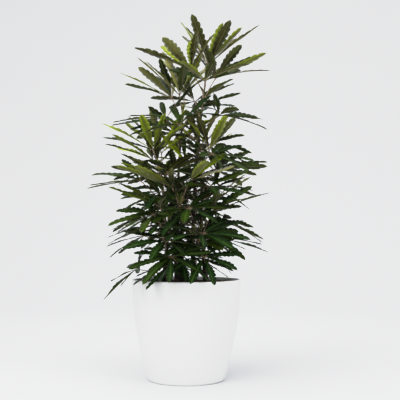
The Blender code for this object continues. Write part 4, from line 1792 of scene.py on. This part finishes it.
            self.blades.add(work, blank, leaflet, looks)
        return object_from(stem.name + "_leaves", work, cuticle)

    def build(self) -> list[bpy.types.Object]:
        """Makes every stem and gives its pieces their place in the frame.

        Returns:
            The pieces.
        """
        grown, hulls = self.growth.grown()
        for stem in STEMS:
            grown[stem.name] += self.sprigs(stem, hulls)
        blank = self.blades.blank()
        bark, skin, cuticle = self.bark.material(), self.skin.material(), self.blades.finish.material()
        made = []
        for stem in STEMS:
            wood = self.wood(stem, bark)
            stalks = self.stalks(stem, grown[stem.name], skin)
            leaves = self.leaves(stem, grown[stem.name], blank, cuticle)
            for obj in (wood, stalks, leaves):
                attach(obj, "root")
                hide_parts(stem.name)
                made.append(obj)
        bpy.data.meshes.remove(blank)
        return made


# The studio


@dataclass(frozen=True)
class Softbox:
    """A square soft light that the camera doesn't see."""

    name: str
    place: Triple
    target: Triple
    size: float
    watts: float
    spread: float = math.radians(164)

    def hang(self) -> bpy.types.Object:
        """Hangs the light, facing its target.

        Returns:
            The light.
        """
        data = bpy.data.lights.new(self.name, "AREA")
        data.shape = "SQUARE"
        data.size = self.size
        data.spread = self.spread
        data.energy = self.watts
        obj = new_object(self.name, data)
        obj.location = self.place
        obj.rotation_euler = (Vector(self.target) - obj.location).to_track_quat("-Z", "Y").to_euler()
        obj.visible_camera = False
        return obj


@dataclass(frozen=True)
class Studio:
    """The pale cove that the planter stands in, its soft lights and the camera."""

    paper: StudioPaper = StudioPaper()
    cove_radius: float = 5.0
    cove_round: float = 2.6
    cove_height: float = 4.2
    cove_points: int = 13
    cove_steps: int = 72
    focal_px: float = 763.0
    image_px: float = 400.0
    distance: float = 2.474
    camera_height: float = 0.458
    camera_x: float = 0.044
    pitch: float = math.radians(2.72)
    sensor_mm: float = 36.0
    sees_to: float = 50.0
    softboxes: tuple[Softbox, ...] = (
        Softbox("top_softbox", (-0.6, -0.9, 3.6), (0.0, 0.0, 0.5), 3.0, 95.0),
        Softbox("left_softbox", (-2.6, -2.7, 2.7), (0.0, 0.0, 0.4), 2.4, 80.0),
        Softbox("right_softbox", (2.7, -2.7, 2.5), (0.0, 0.0, 0.3), 2.4, 70.0),
        Softbox("backdrop_softbox", (0.3, 1.6, 3.2), (0.3, 4.2, 0.0), 2.4, 44.0),
    )
    sky: float = 0.375
    sky_colour: str = "#fcfcff"
    # What the scene's light values are shown as: a little deeper in the shadows, flattened towards white.
    tones: tuple[Pair, ...] = (
        (0.03, 0.021),
        (0.10, 0.088),
        (0.20, 0.20),
        (0.35, 0.37),
        (0.50, 0.58),
        (0.60, 0.71),
        (0.70, 0.77),
        (0.85, 0.815),
        (1.0, 0.85),
    )

    def cove(self) -> bpy.types.Object:
        """Makes the floor and the wall that it curves up into.

        Returns:
            The cove.
        """
        flat = self.cove_radius - self.cove_round
        profile = [(0.0, 0.0)]
        for share in shares(self.cove_points):
            angle = math.pi / 2 * share
            rise = 1 - math.cos(angle)
            profile.append((flat + math.sin(angle) * self.cove_round, rise * self.cove_round))
        profile.append((self.cove_radius, self.cove_height))
        obj = object_from("studio_cove", turned(profile, self.cove_steps), self.paper.material())
        return obj

    def lights(self) -> None:
        """Hangs the lights, and fills the rest with an even white sky."""
        for box in self.softboxes:
            box.hang()
        world = bpy.data.worlds.new("even_white_sky")
        world.use_nodes = True
        background = world.node_tree.nodes["Background"]
        background.inputs["Color"].default_value = linear(self.sky_colour)
        background.inputs["Strength"].default_value = self.sky
        bpy.context.scene.world = world

    def exposure(self) -> None:
        """Gives the view a soft shoulder, which keeps the pale paper and the planter close in tone.

        The toe keeps the shadows among the leaves deep.
        """
        view = bpy.context.scene.view_settings
        view.view_transform = "Standard"
        view.use_curve_mapping = True
        curve = view.curve_mapping.curves[COMBINED_CURVE]
        for place in self.tones[:-1]:
            curve.points.new(*place)
        curve.points[-1].location = self.tones[-1]
        view.curve_mapping.update()

    def camera(self) -> bpy.types.Object:
        """Sets the camera at the photograph's height, distance and angle of view.

        Returns:
            The camera.
        """
        data = bpy.data.cameras.new("camera")
        data.sensor_width = self.sensor_mm
        data.lens = self.focal_px * self.sensor_mm / self.image_px
        data.clip_end = self.sees_to
        obj = new_object("camera", data)
        obj.location = (self.camera_x, -self.distance, self.camera_height)
        obj.rotation_euler = (math.pi / 2 + self.pitch, 0, 0)
        bpy.context.scene.camera = obj
        return obj

    def build(self) -> None:
        """Makes the cove, the lights and the camera, and sets the exposure."""
        self.cove()
        self.lights()
        self.exposure()
        self.camera()


def main() -> None:
    """Builds the planter, the soil, the plant and the studio in turn, and notes the model's size."""
    logging.basicConfig(level=logging.INFO, format="%(message)s")
    sizes = PlanterSizes()
    growth = Growth(sizes)
    plant = LeafyStems(sizes, growth, Blades(growth))
    for piece in (Planter(sizes).build(), *SoilBed(sizes).build(), *plant.build()):
        LOG.info("%s: %d faces", piece.name, len(piece.data.polygons))
    Studio().build()


if __name__ == "__main__":
    main()
